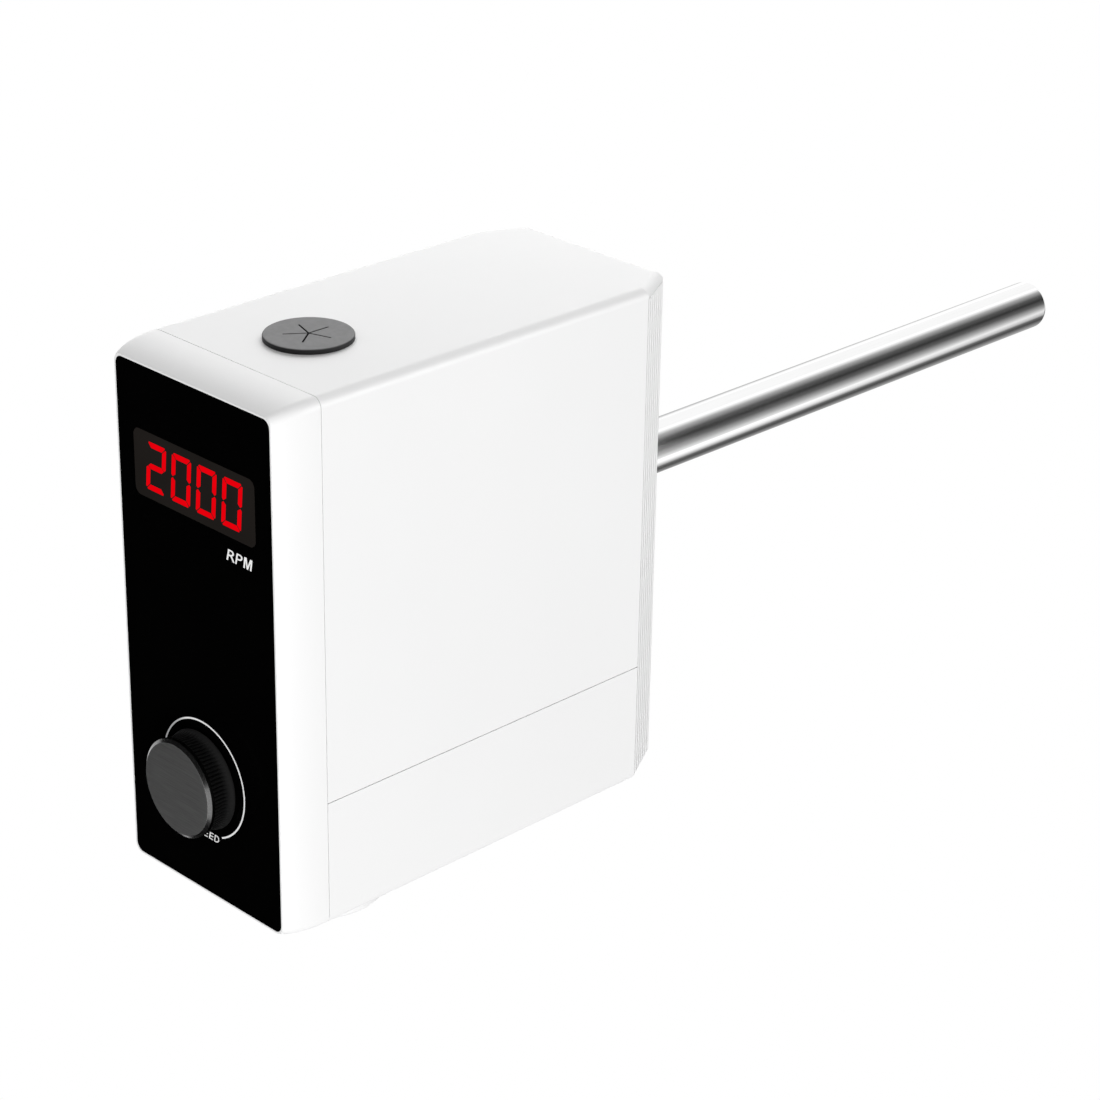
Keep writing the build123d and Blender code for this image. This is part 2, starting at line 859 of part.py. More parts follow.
def knob_cap():
    """The brushed disc on the knob's front, with its chamfered rim."""
    y_face = front_y - knob_front
    y_chamfer = front_y - knob_rim_front
    y_rim = front_y - knob_rim_back
    return turned_lengthwise(
        [
            (0, y_face),
            (knob_face_radius, y_face),
            (knob_rim_radius, y_chamfer),
            (knob_rim_radius, y_rim),
            (knob_spigot_radius, y_rim),
            (knob_spigot_radius, y_rim + knob_spigot_length),
            (0, y_rim + knob_spigot_length),
        ],
        knob_z,
    )


def encoder_body():
    """The encoder's case and bush, hollow round the shaft's collar."""
    half_w = encoder_width / 2
    half_h = encoder_height / 2
    bush_y = front_y - encoder_bush_front
    case = block(-half_w, half_w, encoder_y, board_y, knob_z - half_h, knob_z + half_h)
    case += lengthwise(encoder_bush_radius, bush_y, encoder_y, 0, knob_z)
    bore = encoder_shaft_radius + running_clearance
    case -= lengthwise(bore, bush_y - margin, encoder_y + margin, 0, knob_z)
    return case - lengthwise(
        encoder_inside_radius,
        encoder_y + encoder_front_wall,
        board_y - encoder_rear_wall,
        0,
        knob_z,
    )


def encoder_shaft():
    """The D shaft, round through the bush, with a collar inside the case."""
    collar = encoder_y + encoder_front_wall + collar_gap
    knob_bottom = front_y - knob_back - knob_recess_depth
    tip = front_y - knob_rim_back + knob_spigot_length
    end = collar + collar_thickness
    shaft = shaft_d(tip, knob_bottom)
    shaft += lengthwise(encoder_shaft_radius, knob_bottom, end, 0, knob_z)
    return shaft + lengthwise(collar_radius, collar, end, 0, knob_z)


def encoder_plunger():
    """The small plunger that the shaft presses when the knob is pushed."""
    collar_end = encoder_y + encoder_front_wall + collar_gap + collar_thickness
    start = collar_end + collar_gap
    return lengthwise(plunger_radius, start, start + plunger_length, 0, knob_z)


def encoder_nut():
    """The hexagonal nut that clamps the encoder's bush to the panel."""
    hexagon = Plane(origin=(0, front_y, knob_z), x_dir=(1, 0, 0), z_dir=(0, -1, 0))
    outline = RegularPolygon(encoder_nut_radius, 6) - Circle(encoder_bush_radius + fit_gap)
    return extrude(hexagon * outline, encoder_nut_thickness)


# ---------------------------------------------------------------- chassis
def arm(z0, z1):
    """A flat arm from the back wall to the spindle, narrowing towards the boss."""
    back = back_wall_y - margin
    shoulder = motor_y - arm_shoulder
    plan = Polygon(
        (-arm_half_width, back),
        (-arm_half_width, shoulder),
        (-arm_nose_half_width, spindle_y),
        (arm_nose_half_width, spindle_y),
        (arm_half_width, shoulder),
        (arm_half_width, back),
        align=None,
    )
    return Pos(0, 0, z0) * extrude(plan, z1 - z0)


def gusset(x, z, up):
    """A triangular web between an arm and the back wall."""
    root = back_wall_front + overlap
    outline = Polygon(
        (root, z),
        (back_wall_front - gusset_size, z),
        (root, z + up * gusset_size),
        align=None,
    )
    web = extrude(Plane.YZ * outline, gusset_thickness / 2, both=True)
    return Pos(x, 0, 0) * web


def chassis():
    """The cast frame: two arms with bearing seats, back wall and rod socket."""
    body = block(
        -arm_half_width,
        arm_half_width,
        back_wall_front,
        back_wall_y,
        lower_arm_z,
        upper_arm_top,
    )
    body += arm(upper_arm_z, upper_arm_top)
    body += arm(lower_arm_z, lower_arm_top)
    gusset_x = arm_half_width - gusset_thickness / 2
    for hand in hands:
        body += gusset(hand * gusset_x, upper_arm_z + overlap, -1)
        body += gusset(hand * gusset_x, lower_arm_top - overlap, 1)
    body += upright(seat_boss_radius, upper_arm_z, upper_boss_top, 0, spindle_y)
    body += upright(seat_boss_radius, lower_boss_bottom, lower_boss_top, 0, spindle_y)
    body += lengthwise(rod_boss_radius, back_wall_y - margin, 0)
    tapped = screw_radius + fit_gap
    for x, z in cover_screw_places:
        body += lengthwise(cover_post_radius, back_wall_y - margin, -wall, x, z)
        body -= lengthwise(tapped, -screw_reach - screw_end_gap, margin, x, z)

    low = lower_boss_bottom - margin
    high = upper_boss_top + margin
    seat = bearing_outer_radius
    body -= upright(seat - seat_lip_reach, low, high, 0, spindle_y)
    body -= upright(seat, upper_bearing_z, high, 0, spindle_y)
    body -= upright(seat, low, lower_bearing_z + bearing_width, 0, spindle_y)
    clip_top = lower_bearing_z - circlip_groove_gap
    body -= upright(
        seat + circlip_groove_depth,
        clip_top - circlip_groove_width,
        clip_top,
        0,
        spindle_y,
    )
    body -= lengthwise(stud_radius + fit_gap, stud_y - socket_depth_gap, margin)
    pilot = motor_pilot_radius + fit_gap
    body -= upright(pilot, upper_arm_z - margin, upper_arm_top + margin, 0, motor_y)
    loose = screw_radius + screw_hole_gap
    for x, y in motor_screw_places:
        body -= upright(loose, upper_arm_z - margin, upper_arm_top + margin, x, y)
    for x, y in base_screw_places:
        body -= upright(tapped, lower_arm_z - margin, lower_arm_top - base_hole_end, x, y)
    lock_hole = lock_screw_radius + fit_gap
    return body - upright(lock_hole, -rod_boss_radius - margin, 0, 0, lock_screw_y)


def support_rod():
    """The polished rod, shouldered against the boss, with a threaded stud inside it."""
    rod = lengthwise(rod_radius, 0, rod_length)
    rod = fillet(rod.edges().group_by(Axis.Y)[-1], rod_end_round)
    stud = lengthwise(stud_radius, stud_y, 0)
    stud = chamfer(stud.edges().group_by(Axis.Y)[0], stud_chamfer)
    tip = -stud_radius + lock_screw_bite
    dimple = upright(lock_screw_radius, -stud_radius - margin, tip, 0, lock_screw_y)
    return rod + stud - dimple


def rod_lock_screw():
    """The grub screw that locks the rod's stud in its boss."""
    bottom = -rod_boss_radius + lock_screw_recess
    tip = -stud_radius + lock_screw_bite
    screw = upright(lock_screw_radius, bottom, tip, 0, lock_screw_y)
    socket = Plane.XY.offset(bottom) * RegularPolygon(screw_socket_radius, 6)
    return screw - Pos(0, lock_screw_y, 0) * extrude(socket, lock_screw_socket_depth)


# ---------------------------------------------------------------- spindle group
def spindle():
    """The hollow shaft: two bearing seats either side of a thicker middle."""
    low = chuck_socket_z
    shoulder_low = lower_bearing_z + bearing_width
    shoulder_high = upper_bearing_z
    body = turned(
        [
            (bore_radius, low),
            (spindle_radius, low),
            (spindle_radius, shoulder_low),
            (spindle_shoulder_radius, shoulder_low),
            (spindle_shoulder_radius, shoulder_high),
            (spindle_radius, shoulder_high),
            (spindle_radius, spindle_top - spindle_chamfer),
            (spindle_radius - spindle_chamfer, spindle_top),
            (bore_radius, spindle_top),
        ],
        0,
        spindle_y,
    )
    clip = ring_z(
        spindle_radius + margin,
        spindle_radius - circlip_groove,
        pulley_top,
        pulley_top + circlip_thickness,
        0,
        spindle_y,
    )
    return body - clip


def bearing_outer(z):
    """A bearing's outer ring, grooved for the balls."""
    inner = bearing_outer_radius - bearing_ring_wall
    blank = ring_z(bearing_outer_radius, inner, z, z + bearing_width, 0, spindle_y)
    return blank - ball_track(z)


def bearing_inner(z):
    """A bearing's inner ring, on the spindle."""
    outer = spindle_radius + bearing_ring_wall
    blank = ring_z(outer, spindle_radius, z, z + bearing_width, 0, spindle_y)
    return blank - ball_track(z)


def ball_track(z):
    """The ring of space that the balls roll in."""
    pitch_radius = (bearing_outer_radius + spindle_radius) / 2
    middle = Pos(0, spindle_y, z + bearing_width / 2)
    return middle * Torus(pitch_radius, bearing_ball_radius + running_clearance)


def bearing_balls(z):
    """A bearing's balls, evenly spaced round the track."""
    pitch_radius = (bearing_outer_radius + spindle_radius) / 2
    middle = Pos(0, spindle_y, z + bearing_width / 2)
    balls = [
        middle * place * Sphere(bearing_ball_radius)
        for place in PolarLocations(pitch_radius, bearing_ball_count)
    ]
    return Part() + balls


def bearing_circlip():
    """The internal ring that holds the lower bearing up in its seat."""
    top = lower_bearing_z - bearing_clip_play
    clip = ring_z(
        bearing_outer_radius + bearing_clip_sink,
        bearing_outer_radius - bearing_clip_width,
        top - circlip_thickness,
        top,
        0,
        spindle_y,
    )
    return clip - block(
        -bearing_clip_opening,
        bearing_clip_opening,
        spindle_y,
        spindle_y + 2 * bearing_outer_radius,
        top - 2 * circlip_thickness,
        top + margin,
    )


def spindle_circlip():
    """The external ring that holds the pulley down on the spindle."""
    inner = spindle_radius - circlip_groove + fit_gap
    clip = ring_z(
        inner + circlip_width,
        inner,
        pulley_top + circlip_play,
        pulley_top + circlip_thickness - circlip_play,
        0,
        spindle_y,
    )
    return clip - block(
        -circlip_opening,
        circlip_opening,
        spindle_y,
        spindle_y + 2 * spindle_radius,
        pulley_top - margin,
        spindle_top,
    )


def groove_line(radius, lift=0.0):
    """The zigzag of V grooves as (radius, z) points going up, shifted out by lift."""
    points = [(radius + lift, groove_z)]
    for index in range(groove_count):
        valley = groove_z + (index + 0.5) * groove_pitch
        points.append((radius - groove_depth + lift, valley))
        points.append((radius + lift, groove_z + (index + 1) * groove_pitch))
    return points


def pulley(radius, bore, hub_radius, hub_bottom, y):
    """A grooved and flanged pulley with a hub below it."""
    flange = radius + pulley_flange
    lip = pulley_flange_thickness
    outline = [(bore, hub_bottom), (hub_radius, hub_bottom), (hub_radius, pulley_z)]
    outline += [(flange, pulley_z), (flange, pulley_z + lip)]
    outline += groove_line(radius)
    outline += [(flange, pulley_top - lip), (flange, pulley_top), (bore, pulley_top)]
    return turned(outline, 0, y)


def spindle_pulley():
    """The large pulley on the spindle, dished on top to save weight."""
    hub_bottom = upper_bearing_z + bearing_width
    body = pulley(
        spindle_pulley_radius, spindle_radius, pulley_hub_radius, hub_bottom, spindle_y
    )
    dish = ring_z(
        spindle_pulley_radius - groove_depth - pulley_rim_wall,
        spindle_radius + pulley_hub_wall,
        pulley_top - pulley_dish_depth,
        pulley_top + margin,
        0,
        spindle_y,
    )
    return body - dish


def motor_pulley():
    """The small pulley on the motor's shaft."""
    hub_bottom = pulley_z - pulley_hub_height
    return pulley(
        motor_pulley_radius, motor_shaft_radius, motor_pulley_hub_radius, hub_bottom, motor_y
    )


def drive_belt():
    """The ribbed belt: two wrapped arcs and two straight spans of one section."""
    difference = spindle_pulley_radius - motor_pulley_radius
    lean = degrees(asin(difference / belt_centres))
    span = sqrt(belt_centres**2 - difference**2)

    def section(radius, angle):
        outer = radius + belt_back + belt_lift
        outline = groove_line(radius, belt_lift)
        outline += [(outer, groove_z + groove_span), (outer, groove_z)]
        return Rot(0, 0, angle) * (Plane.XZ * Polygon(*outline, align=None))

    def wrap(radius, y, start, sweep_angle):
        arc = revolve(section(radius, start), Axis.Z, revolution_arc=sweep_angle)
        return Pos(0, y, 0) * arc

    along = (-sin(radians(lean)), cos(radians(lean)), 0)
    run = extrude(section(spindle_pulley_radius, lean), span, dir=along)
    run = Pos(0, spindle_y, 0) * run
    belt = wrap(spindle_pulley_radius, spindle_y, 180 - lean, 180 + 2 * lean)
    belt += wrap(motor_pulley_radius, motor_y, lean, 180 - 2 * lean)
    return belt + run + mirror(run, Plane.YZ)


# ---------------------------------------------------------------- motor
def motor_case():
    """The motor's can, closed at the top by its mounting flange and pilot."""
    under_flange = motor_top - motor_flange_thickness
    bore = motor_shaft_radius + motor_bore_gap
    bearing_top = under_flange + motor_bearing_width
    body = turned(
        [
            (bore, bearing_top),
            (bore, motor_top + motor_pilot_height),
            (motor_pilot_radius, motor_top + motor_pilot_height),
            (motor_pilot_radius, motor_top),
            (motor_radius, motor_top),
            (motor_radius, motor_bottom + motor_cap_thickness),
            (motor_radius - motor_wall, motor_bottom + motor_cap_thickness),
            (motor_radius - motor_wall, under_flange),
            (motor_bearing_radius, under_flange),
            (motor_bearing_radius, bearing_top),
        ],
        0,
        motor_y,
    )
    hole_end = motor_top - motor_screw_reach - overlap
    for x, y in motor_screw_places:
        body -= upright(screw_radius + fit_gap, hole_end, motor_top + margin, x, y)
    return body


def motor_end_cap():
    """The motor's lower cap, with a spigot in the can and the lower bearing's seat."""
    inside = motor_radius - motor_wall - fit_gap
    floor = motor_bottom + motor_cap_thickness / 2
    top = motor_bottom + motor_cap_thickness
    return turned(
        [
            (0, motor_bottom),
            (motor_radius, motor_bottom),
            (motor_radius, top),
            (inside, top),
            (inside, floor + motor_bearing_width),
            (motor_bearing_radius, floor + motor_bearing_width),
            (motor_bearing_radius, floor),
            (0, floor),
        ],
        0,
        motor_y,
    )


def motor_stator():
    """The laminated stack, slotted for the windings."""
    inner = rotor_radius + air_gap
    outer = motor_radius - motor_wall - fit_gap
    stack = ring_z(outer, inner, rotor_z, rotor_z + rotor_length, 0, motor_y)
    slot_depth = outer - inner - stator_tooth_tip - stator_back_iron
    middle = inner + stator_tooth_tip + slot_depth / 2
    slot = Pos(0, 0, rotor_z - margin) * extrude(
        Pos(middle, 0) * Rectangle(slot_depth, stator_slot_width),
        rotor_length + 2 * margin,
    )
    for index in range(stator_slot_count):
        turn = Rot(0, 0, index * 360 / stator_slot_count)
        stack -= Pos(0, motor_y, 0) * turn * slot
    return stack


def motor_windings():
    """The copper coils filling the stator's slots and looping over its ends."""
    inner = rotor_radius + air_gap
    outer = motor_radius - motor_wall - fit_gap
    slot_depth = outer - inner - stator_tooth_tip - stator_back_iron
    middle = inner + stator_tooth_tip + slot_depth / 2
    depth = slot_depth - 2 * winding_inset
    coil = Pos(0, 0, rotor_z - winding_overhang) * extrude(
        Pos(middle, 0) * Rectangle(depth, stator_slot_width - 2 * winding_inset),
        rotor_length + 2 * winding_overhang,
    )
    turns = [
        Pos(0, motor_y, 0) * Rot(0, 0, index * 360 / stator_slot_count) * coil
        for index in range(stator_slot_count)
    ]
    return Part() + turns


def motor_rotor():
    """The magnet ring on the motor's shaft."""
    top = rotor_z + rotor_length
    return ring_z(rotor_radius, motor_shaft_radius, rotor_z, top, 0, motor_y)


def motor_shaft():
    """The motor's shaft, from the lower bearing to the top of its pulley."""
    bottom = motor_bottom + motor_cap_thickness / 2 + motor_shaft_gap
    top = pulley_top + motor_shaft_nose
    shaft = upright(motor_shaft_radius, bottom, top, 0, motor_y)
    return chamfer(shaft.edges().group_by(Axis.Z)[-1], motor_shaft_chamfer)


def motor_bearings():
    """The motor's two small bearings."""
    low = motor_bottom + motor_cap_thickness / 2
    high = motor_top - motor_flange_thickness
    bore = motor_shaft_radius + running_clearance
    pair = [
        ring_z(motor_bearing_radius, bore, z, z + motor_bearing_width, 0, motor_y)
        for z in (low, high)
    ]
    return Part() + pair


def motor_screws():
    """Four screws through the upper arm into the motor's flange."""
    reach = motor_top - motor_screw_reach
    return Part() + [
        cap_screw(upper_arm_top, reach, x, y, 1) for x, y in motor_screw_places
    ]


def cap_screw(seat, reach, x, y, up):
    """A socket screw along Z: head on the seat towards up, shank to reach."""
    head_end = seat + up * screw_head_height
    low, high = sorted((seat, head_end))
    head = upright(screw_head_radius, low, high, x, y)
    low, high = sorted((head_end - up * screw_socket_depth, head_end))
    hexagon = RegularPolygon(screw_socket_radius, 6)
    socket = Pos(x, y, low) * extrude(hexagon, high - low)
    low, high = sorted((seat, reach))
    return head - socket + upright(screw_radius, low, high, x, y)


# ---------------------------------------------------------------- speed sensor
def speed_disc():
    """The slotted disc under the lower bearing, on a hub on the spindle."""
    rim = ring_z(
        speed_disc_radius, spindle_radius, disc_z, disc_z + speed_disc_thickness, 0, spindle_y
    )
    hub_top = disc_z + speed_disc_hub
    rim += ring_z(pulley_hub_radius, spindle_radius, chuck_top_z, hub_top, 0, spindle_y)
    slot = Rectangle(disc_slot_length, disc_slot_width)
    slots = Sketch() + [
        place * slot
        for place in PolarLocations(speed_disc_radius - disc_slot_inset, speed_disc_slots)
    ]
    cutter = extrude(slots, speed_disc_thickness + 2 * margin)
    return rim - Pos(0, spindle_y, disc_z - margin) * cutter


def speed_sensor():
    """The light fork astride the disc's rim, under the lower arm."""
    side = sensor_half_width
    tip_y = spindle_y + speed_disc_radius - sensor_bite
    back_y = spindle_y + seat_boss_radius + sensor_gap
    low = disc_z - sensor_drop
    body = block(-side, side, back_y, back_y + sensor_thickness, low, lower_arm_z)
    body += block(-side, side, tip_y, back_y + overlap, low, disc_z - sensor_lower_gap)
    return body + block(
        -side,
        side,
        tip_y,
        back_y + overlap,
        disc_z + speed_disc_thickness + sensor_upper_gap,
        lower_boss_bottom - sensor_boss_gap,
    )


# ---------------------------------------------------------------- chuck
def way_radius(z):
    """How far a jaw's axis lies from the spindle axis at height z."""
    return jaw_rest_grip + (z - jaw_tip_z) * tan(radians(jaw_tilt))


def way_outer(z):
    """How far out a jaw's outer side lies at height z."""
    return way_radius(z) + jaw_radius / cos(radians(jaw_tilt))


def way(radius, low, high):
    """A cylinder on a jaw's slanting axis between two heights above the jaw's tip."""
    middle = jaw_tip_z + (low + high) / 2
    place = Pos(way_radius(middle), 0, middle) * Rot(0, jaw_tilt, 0)
    return place * Cylinder(radius, (high - low) / cos(radians(jaw_tilt)))


def jaw_angle(index):
    """Where jaw number index stands round the spindle, in degrees from +X."""
    return 90 + index * 360 / jaw_count


def chuck_body():
    """The chuck's body: spindle socket, three slanting ways and the nut's groove."""
    groove_low = nut_z - nut_play
    groove_high = nut_z + nut_height + nut_play
    body = turned(
        [
            (chuck_bore_radius, nose_z),
            (chuck_nose_radius, nose_z),
            (chuck_radius, nose_z + chuck_radius - chuck_nose_radius),
            (chuck_radius, groove_low),
            (way_outer(groove_low) - thread_height, groove_low),
            (way_outer(groove_high) - thread_height, groove_high),
            (chuck_radius, groove_high),
            (chuck_radius, chuck_shoulder_z),
            (chuck_neck_radius, chuck_shoulder_z),
            (chuck_neck_radius, chuck_top_z),
            (spindle_radius, chuck_top_z),
            (spindle_radius, chuck_socket_z),
            (chuck_bore_radius, chuck_socket_z),
        ],
        0,
        spindle_y,
    )
    hole = way(jaw_radius + jaw_clearance, -jaw_hole_foot, jaw_hole_height)
    for index in range(jaw_count):
        body -= Pos(0, spindle_y, 0) * Rot(0, 0, jaw_angle(index)) * hole
    return body


def chuck_nut():
    """The split nut that drives the jaws, in the body's groove."""
    top = nut_z + nut_height
    nut = turned(
        [
            (way_outer(nut_z) + nut_relief, nut_z),
            (nut_radius, nut_z),
            (nut_radius, top),
            (way_outer(top) + nut_relief, top),
        ],
        0,
        spindle_y,
    )
    return nut - block(
        -nut_radius - margin,
        nut_radius + margin,
        spindle_y - nut_split / 2,
        spindle_y + nut_split / 2,
        nut_z - margin,
        top + margin,
    )


def chuck_ring():
    """The pale hand ring round the nut."""
    bore = chuck_radius + ring_clearance
    return turned(
        [
            (bore, ring_bottom_z),
            (ring_radius - ring_lower_chamfer, ring_bottom_z),
            (ring_radius, ring_bottom_z + ring_lower_chamfer),
            (ring_radius, ring_top_z - ring_upper_chamfer),
            (ring_radius - ring_upper_chamfer, ring_top_z),
            (nut_radius, ring_top_z),
            (nut_radius, nut_z),
            (bore, nut_z),
        ],
        0,
        spindle_y,
    )


def jaw(index):
    """One jaw: a slanting cylinder with a wedge-shaped, hollow-ground gripping end."""
    body = way(jaw_radius, -jaw_foot, jaw_height)
    side = 2 * chuck_radius
    body &= block(-side, side, -side, side, jaw_tip_z, chuck_top_z)
    apex = jaw_rest_grip - jaw_edge
    far_x = apex + jaw_wedge_reach * cos(pi / 3)
    far_y = jaw_wedge_reach * sin(pi / 3)
    wedge = Polygon((apex, 0), (far_x, -far_y), (far_x, far_y), align=None)
    body &= Pos(0, 0, jaw_tip_z - margin) * extrude(wedge, jaw_height + chuck_radius)
    body -= upright(jaw_rest_grip, jaw_tip_z - margin, chuck_top_z)
    return Pos(0, spindle_y, 0) * Rot(0, 0, jaw_angle(index)) * body


# ---------------------------------------------------------------- top cap
def top_cap():
    """The rubber cap: domed flange, snap-in plug and a star of slits."""
    bottom = ceiling_z - cap_plug_reach
    bead_top = ceiling_z - cap_bead_gap
    plug = cap_plug_radius - fit_gap
    cap = turned(
        [
            (0, top_z),
            (cap_plug_radius - cap_plug_wall, top_z),
            (cap_plug_radius - cap_plug_wall, bottom),
            (plug, bottom),
            (cap_plug_radius + cap_bead, ceiling_z - cap_bead_height),
            (cap_plug_radius + cap_bead, bead_top),
            (plug, bead_top),
            (plug, top_z),
            (cap_radius, top_z),
            (cap_radius, top_z + cap_height),
            (0, top_z + cap_height),
        ],
        0,
        spindle_y,
    )
    cap = fillet(cap.edges().group_by(Axis.Z)[-1], cap_rim_round)
    slit = Pos(slit_length / 2, 0) * SlotOverall(slit_length + slit_width, slit_width)
    star = Sketch() + [
        Rot(0, 0, 90 + index * 360 / slit_count) * slit for index in range(slit_count)
    ]
    cutter = extrude(star, cap_height + 2 * margin)
    return cap - Pos(0, spindle_y, top_z - margin) * cutter


# ---------------------------------------------------------------- electrics
def control_board():
    """The motor controller's board, upright beside the motor."""
    x = -arm_half_width - spacer_length
    return block(
        x - board_thickness,
        x,
        motor_y - control_board_front,
        back_wall_y + control_board_back,
        lower_arm_z - control_board_foot,
        upper_arm_top + control_board_head,
    )


def board_spacers():
    """Four spacers between the chassis and the controller's board."""
    end = -arm_half_width - spacer_length
    return Part() + [
        crosswise(spacer_radius, end, -arm_half_width, y, z) for y, z in spacer_places
    ]


def capacitors():
    """Two smoothing capacitors lying on the board, in the space below the motor."""
    start = -arm_half_width - spacer_length
    end = start + capacitor_length
    z = (motor_bottom + lower_arm_top) / 2
    cans = []
    for hand in hands:
        y = motor_y + hand * capacitor_spacing / 2
        can = crosswise(capacitor_radius, start, end, y, z)
        cans.append(fillet(can.edges().group_by(Axis.X)[-1], capacitor_round))
    return Part() + cans


def power_switch():
    """The switch's housing in the rear cover, open behind its frame for the rocker."""
    half_w = switch_body_width / 2
    half_h = switch_body_height / 2
    body = block(
        switch_x - half_w, switch_x + half_w, -switch_depth, 0, inlet_z - half_h, inlet_z + half_h
    )
    frame_w = half_w + switch_frame_lip
    frame_h = half_h + switch_frame_lip
    body += block(
        switch_x - frame_w,
        switch_x + frame_w,
        0,
        switch_frame_thickness,
        inlet_z - frame_h,
        inlet_z + frame_h,
    )
    well_w = rocker_width / 2 + rocker_side_gap
    well_h = rocker_height / 2 + rocker_end_gap
    body -= block(
        switch_x - well_w,
        switch_x + well_w,
        rocker_y - switch_well_depth,
        switch_frame_thickness + margin,
        inlet_z - well_h,
        inlet_z + well_h,
    )
    reach = rocker_width / 2 + rocker_pivot_length + rocker_pivot_end_gap
    socket = rocker_pivot_radius + running_clearance
    return body - crosswise(socket, switch_x - reach, switch_x + reach, rocker_y, inlet_z)


def power_rocker():
    """The rocker on its two pivot pins: two flats meeting over the pivot, top pressed in."""
    half = rocker_height / 2
    crown = switch_frame_thickness + rocker_crown - rocker_y
    tip = crown + half * tan(radians(rocker_tilt))
    heel = half - rocker_heel_inset
    outline = Polygon(
        (crown, 0),
        (tip, half),
        (-rocker_heel, heel),
        (-rocker_keel_depth, rocker_keel_half_height),
        (-rocker_keel_depth, -rocker_keel_half_height),
        (-rocker_heel, -heel),
        (tip, -half),
        align=None,
    )
    key = extrude(Plane.YZ * outline, rocker_width / 2, both=True)
    reach = rocker_width / 2 + rocker_pivot_length
    key += crosswise(rocker_pivot_radius, -reach, reach)
    return Pos(switch_x, rocker_y, inlet_z) * Rot(rocker_tilt, 0, 0) * key


def dc_jack():
    """The low-voltage inlet, with its centre pin."""
    body = lengthwise(jack_body_radius, -jack_body_length, 0, jack_x, inlet_z)
    body += lengthwise(jack_body_radius + jack_flange, 0, jack_flange, jack_x, inlet_z)
    mouth = jack_flange + margin
    body -= lengthwise(jack_socket_radius, -jack_socket_depth, mouth, jack_x, inlet_z)
    root = -jack_socket_depth - overlap
    return body + lengthwise(jack_pin_radius, root, -jack_pin_setback, jack_x, inlet_z)


def jack_nut():
    """The nut that holds the inlet from inside the rear cover."""
    plane = Plane(origin=(jack_x, -wall, inlet_z), x_dir=(1, 0, 0), z_dir=(0, -1, 0))
    outline = RegularPolygon(jack_nut_radius, 6) - Circle(jack_body_radius + fit_gap)
    return extrude(plane * outline, jack_nut_thickness)


# ---------------------------------------------------------------- screws
def base_screws():
    """Four screws from below, through the lower housing's pillars into the chassis."""
    reach = lower_arm_top - base_screw_end
    return Part() + [
        cap_screw(base_head_z, reach, x, y, -1) for x, y in base_screw_places
    ]


def cover_screws():
    """Four pan-head screws through the rear cover into the chassis posts."""
    seat = -screw_sink
    crown = seat + pan_head_height
    bottom = crown - cross_depth
    long = cross_half_length
    thin = cross_half_width
    screws = []
    for x, z in cover_screw_places:
        screw = lengthwise(screw_head_radius, seat, crown, x, z)
        screw += lengthwise(screw_radius, -screw_reach, seat, x, z)
        cross = block(x - long, x + long, bottom, crown + margin, z - thin, z + thin)
        cross += block(x - thin, x + thin, bottom, crown + margin, z - long, z + long)
        screws.append(screw - cross)
    return Part() + screws


# ---------------------------------------------------------------- the assembly
upper_shell, lower_shell, rear_shell = covers()

parts = {
    "front_bezel": front_bezel(),
    "front_panel": front_panel(),
    "display_window": display_window(),
    "led_display": led_display(),
    "display_board": display_board(),
    "board_screws": board_screws(),
    "upper_housing": upper_housing(upper_shell),
    "lower_housing": lower_housing(lower_shell),
    "rear_cover": rear_cover(rear_shell),
    "top_cap": top_cap(),
    "chassis": chassis(),
    "base_screws": base_screws(),
    "cover_screws": cover_screws(),
    "support_rod": support_rod(),
    "rod_lock_screw": rod_lock_screw(),
    "spindle": spindle(),
    "bearing_circlip": bearing_circlip(),
    "spindle_circlip": spindle_circlip(),
    "spindle_pulley": spindle_pulley(),
    "drive_belt": drive_belt(),
    "motor_pulley": motor_pulley(),
    "motor_case": motor_case(),
    "motor_end_cap": motor_end_cap(),
    "motor_stator": motor_stator(),
    "motor_windings": motor_windings(),
    "motor_rotor": motor_rotor(),
    "motor_shaft": motor_shaft(),
    "motor_bearings": motor_bearings(),
    "motor_screws": motor_screws(),
    "speed_disc": speed_disc(),
    "speed_sensor": speed_sensor(),
    "chuck_body": chuck_body(),
    "chuck_nut": chuck_nut(),
    "chuck_ring": chuck_ring(),
    "speed_knob": speed_knob(),
    "knob_cap": knob_cap(),
    "encoder_body": encoder_body(),
    "encoder_nut": encoder_nut(),
    "encoder_plunger": encoder_plunger(),
    "encoder_shaft": encoder_shaft(),
    "control_board": control_board(),
    "board_spacers": board_spacers(),
    "capacitors": capacitors(),
    "power_switch": power_switch(),
    "power_rocker": power_rocker(),
    "dc_jack": dc_jack(),
    "jack_nut": jack_nut(),
}
for index in range(jaw_count):
    parts[f"jaw_{index + 1}"] = jaw(index)
for name, z in (("upper", upper_bearing_z), ("lower", lower_bearing_z)):
    parts[f"{name}_bearing_outer"] = bearing_outer(z)
    parts[f"{name}_bearing_balls"] = bearing_balls(z)
    parts[f"{name}_bearing_inner"] = bearing_inner(z)

os.makedirs("parts", exist_ok=True)
for name, part in parts.items():
    export_step(part, f"parts/{name}.step")
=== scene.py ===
"""Finishes, knob grip, display, printing and studio for the overhead stirrer, as an add-on."""

import json
import math

import bpy
import numpy as np
from bpy.props import FloatProperty, FloatVectorProperty, PointerProperty
from bpy.types import Operator, Panel, PropertyGroup
from mathutils import Matrix, Vector

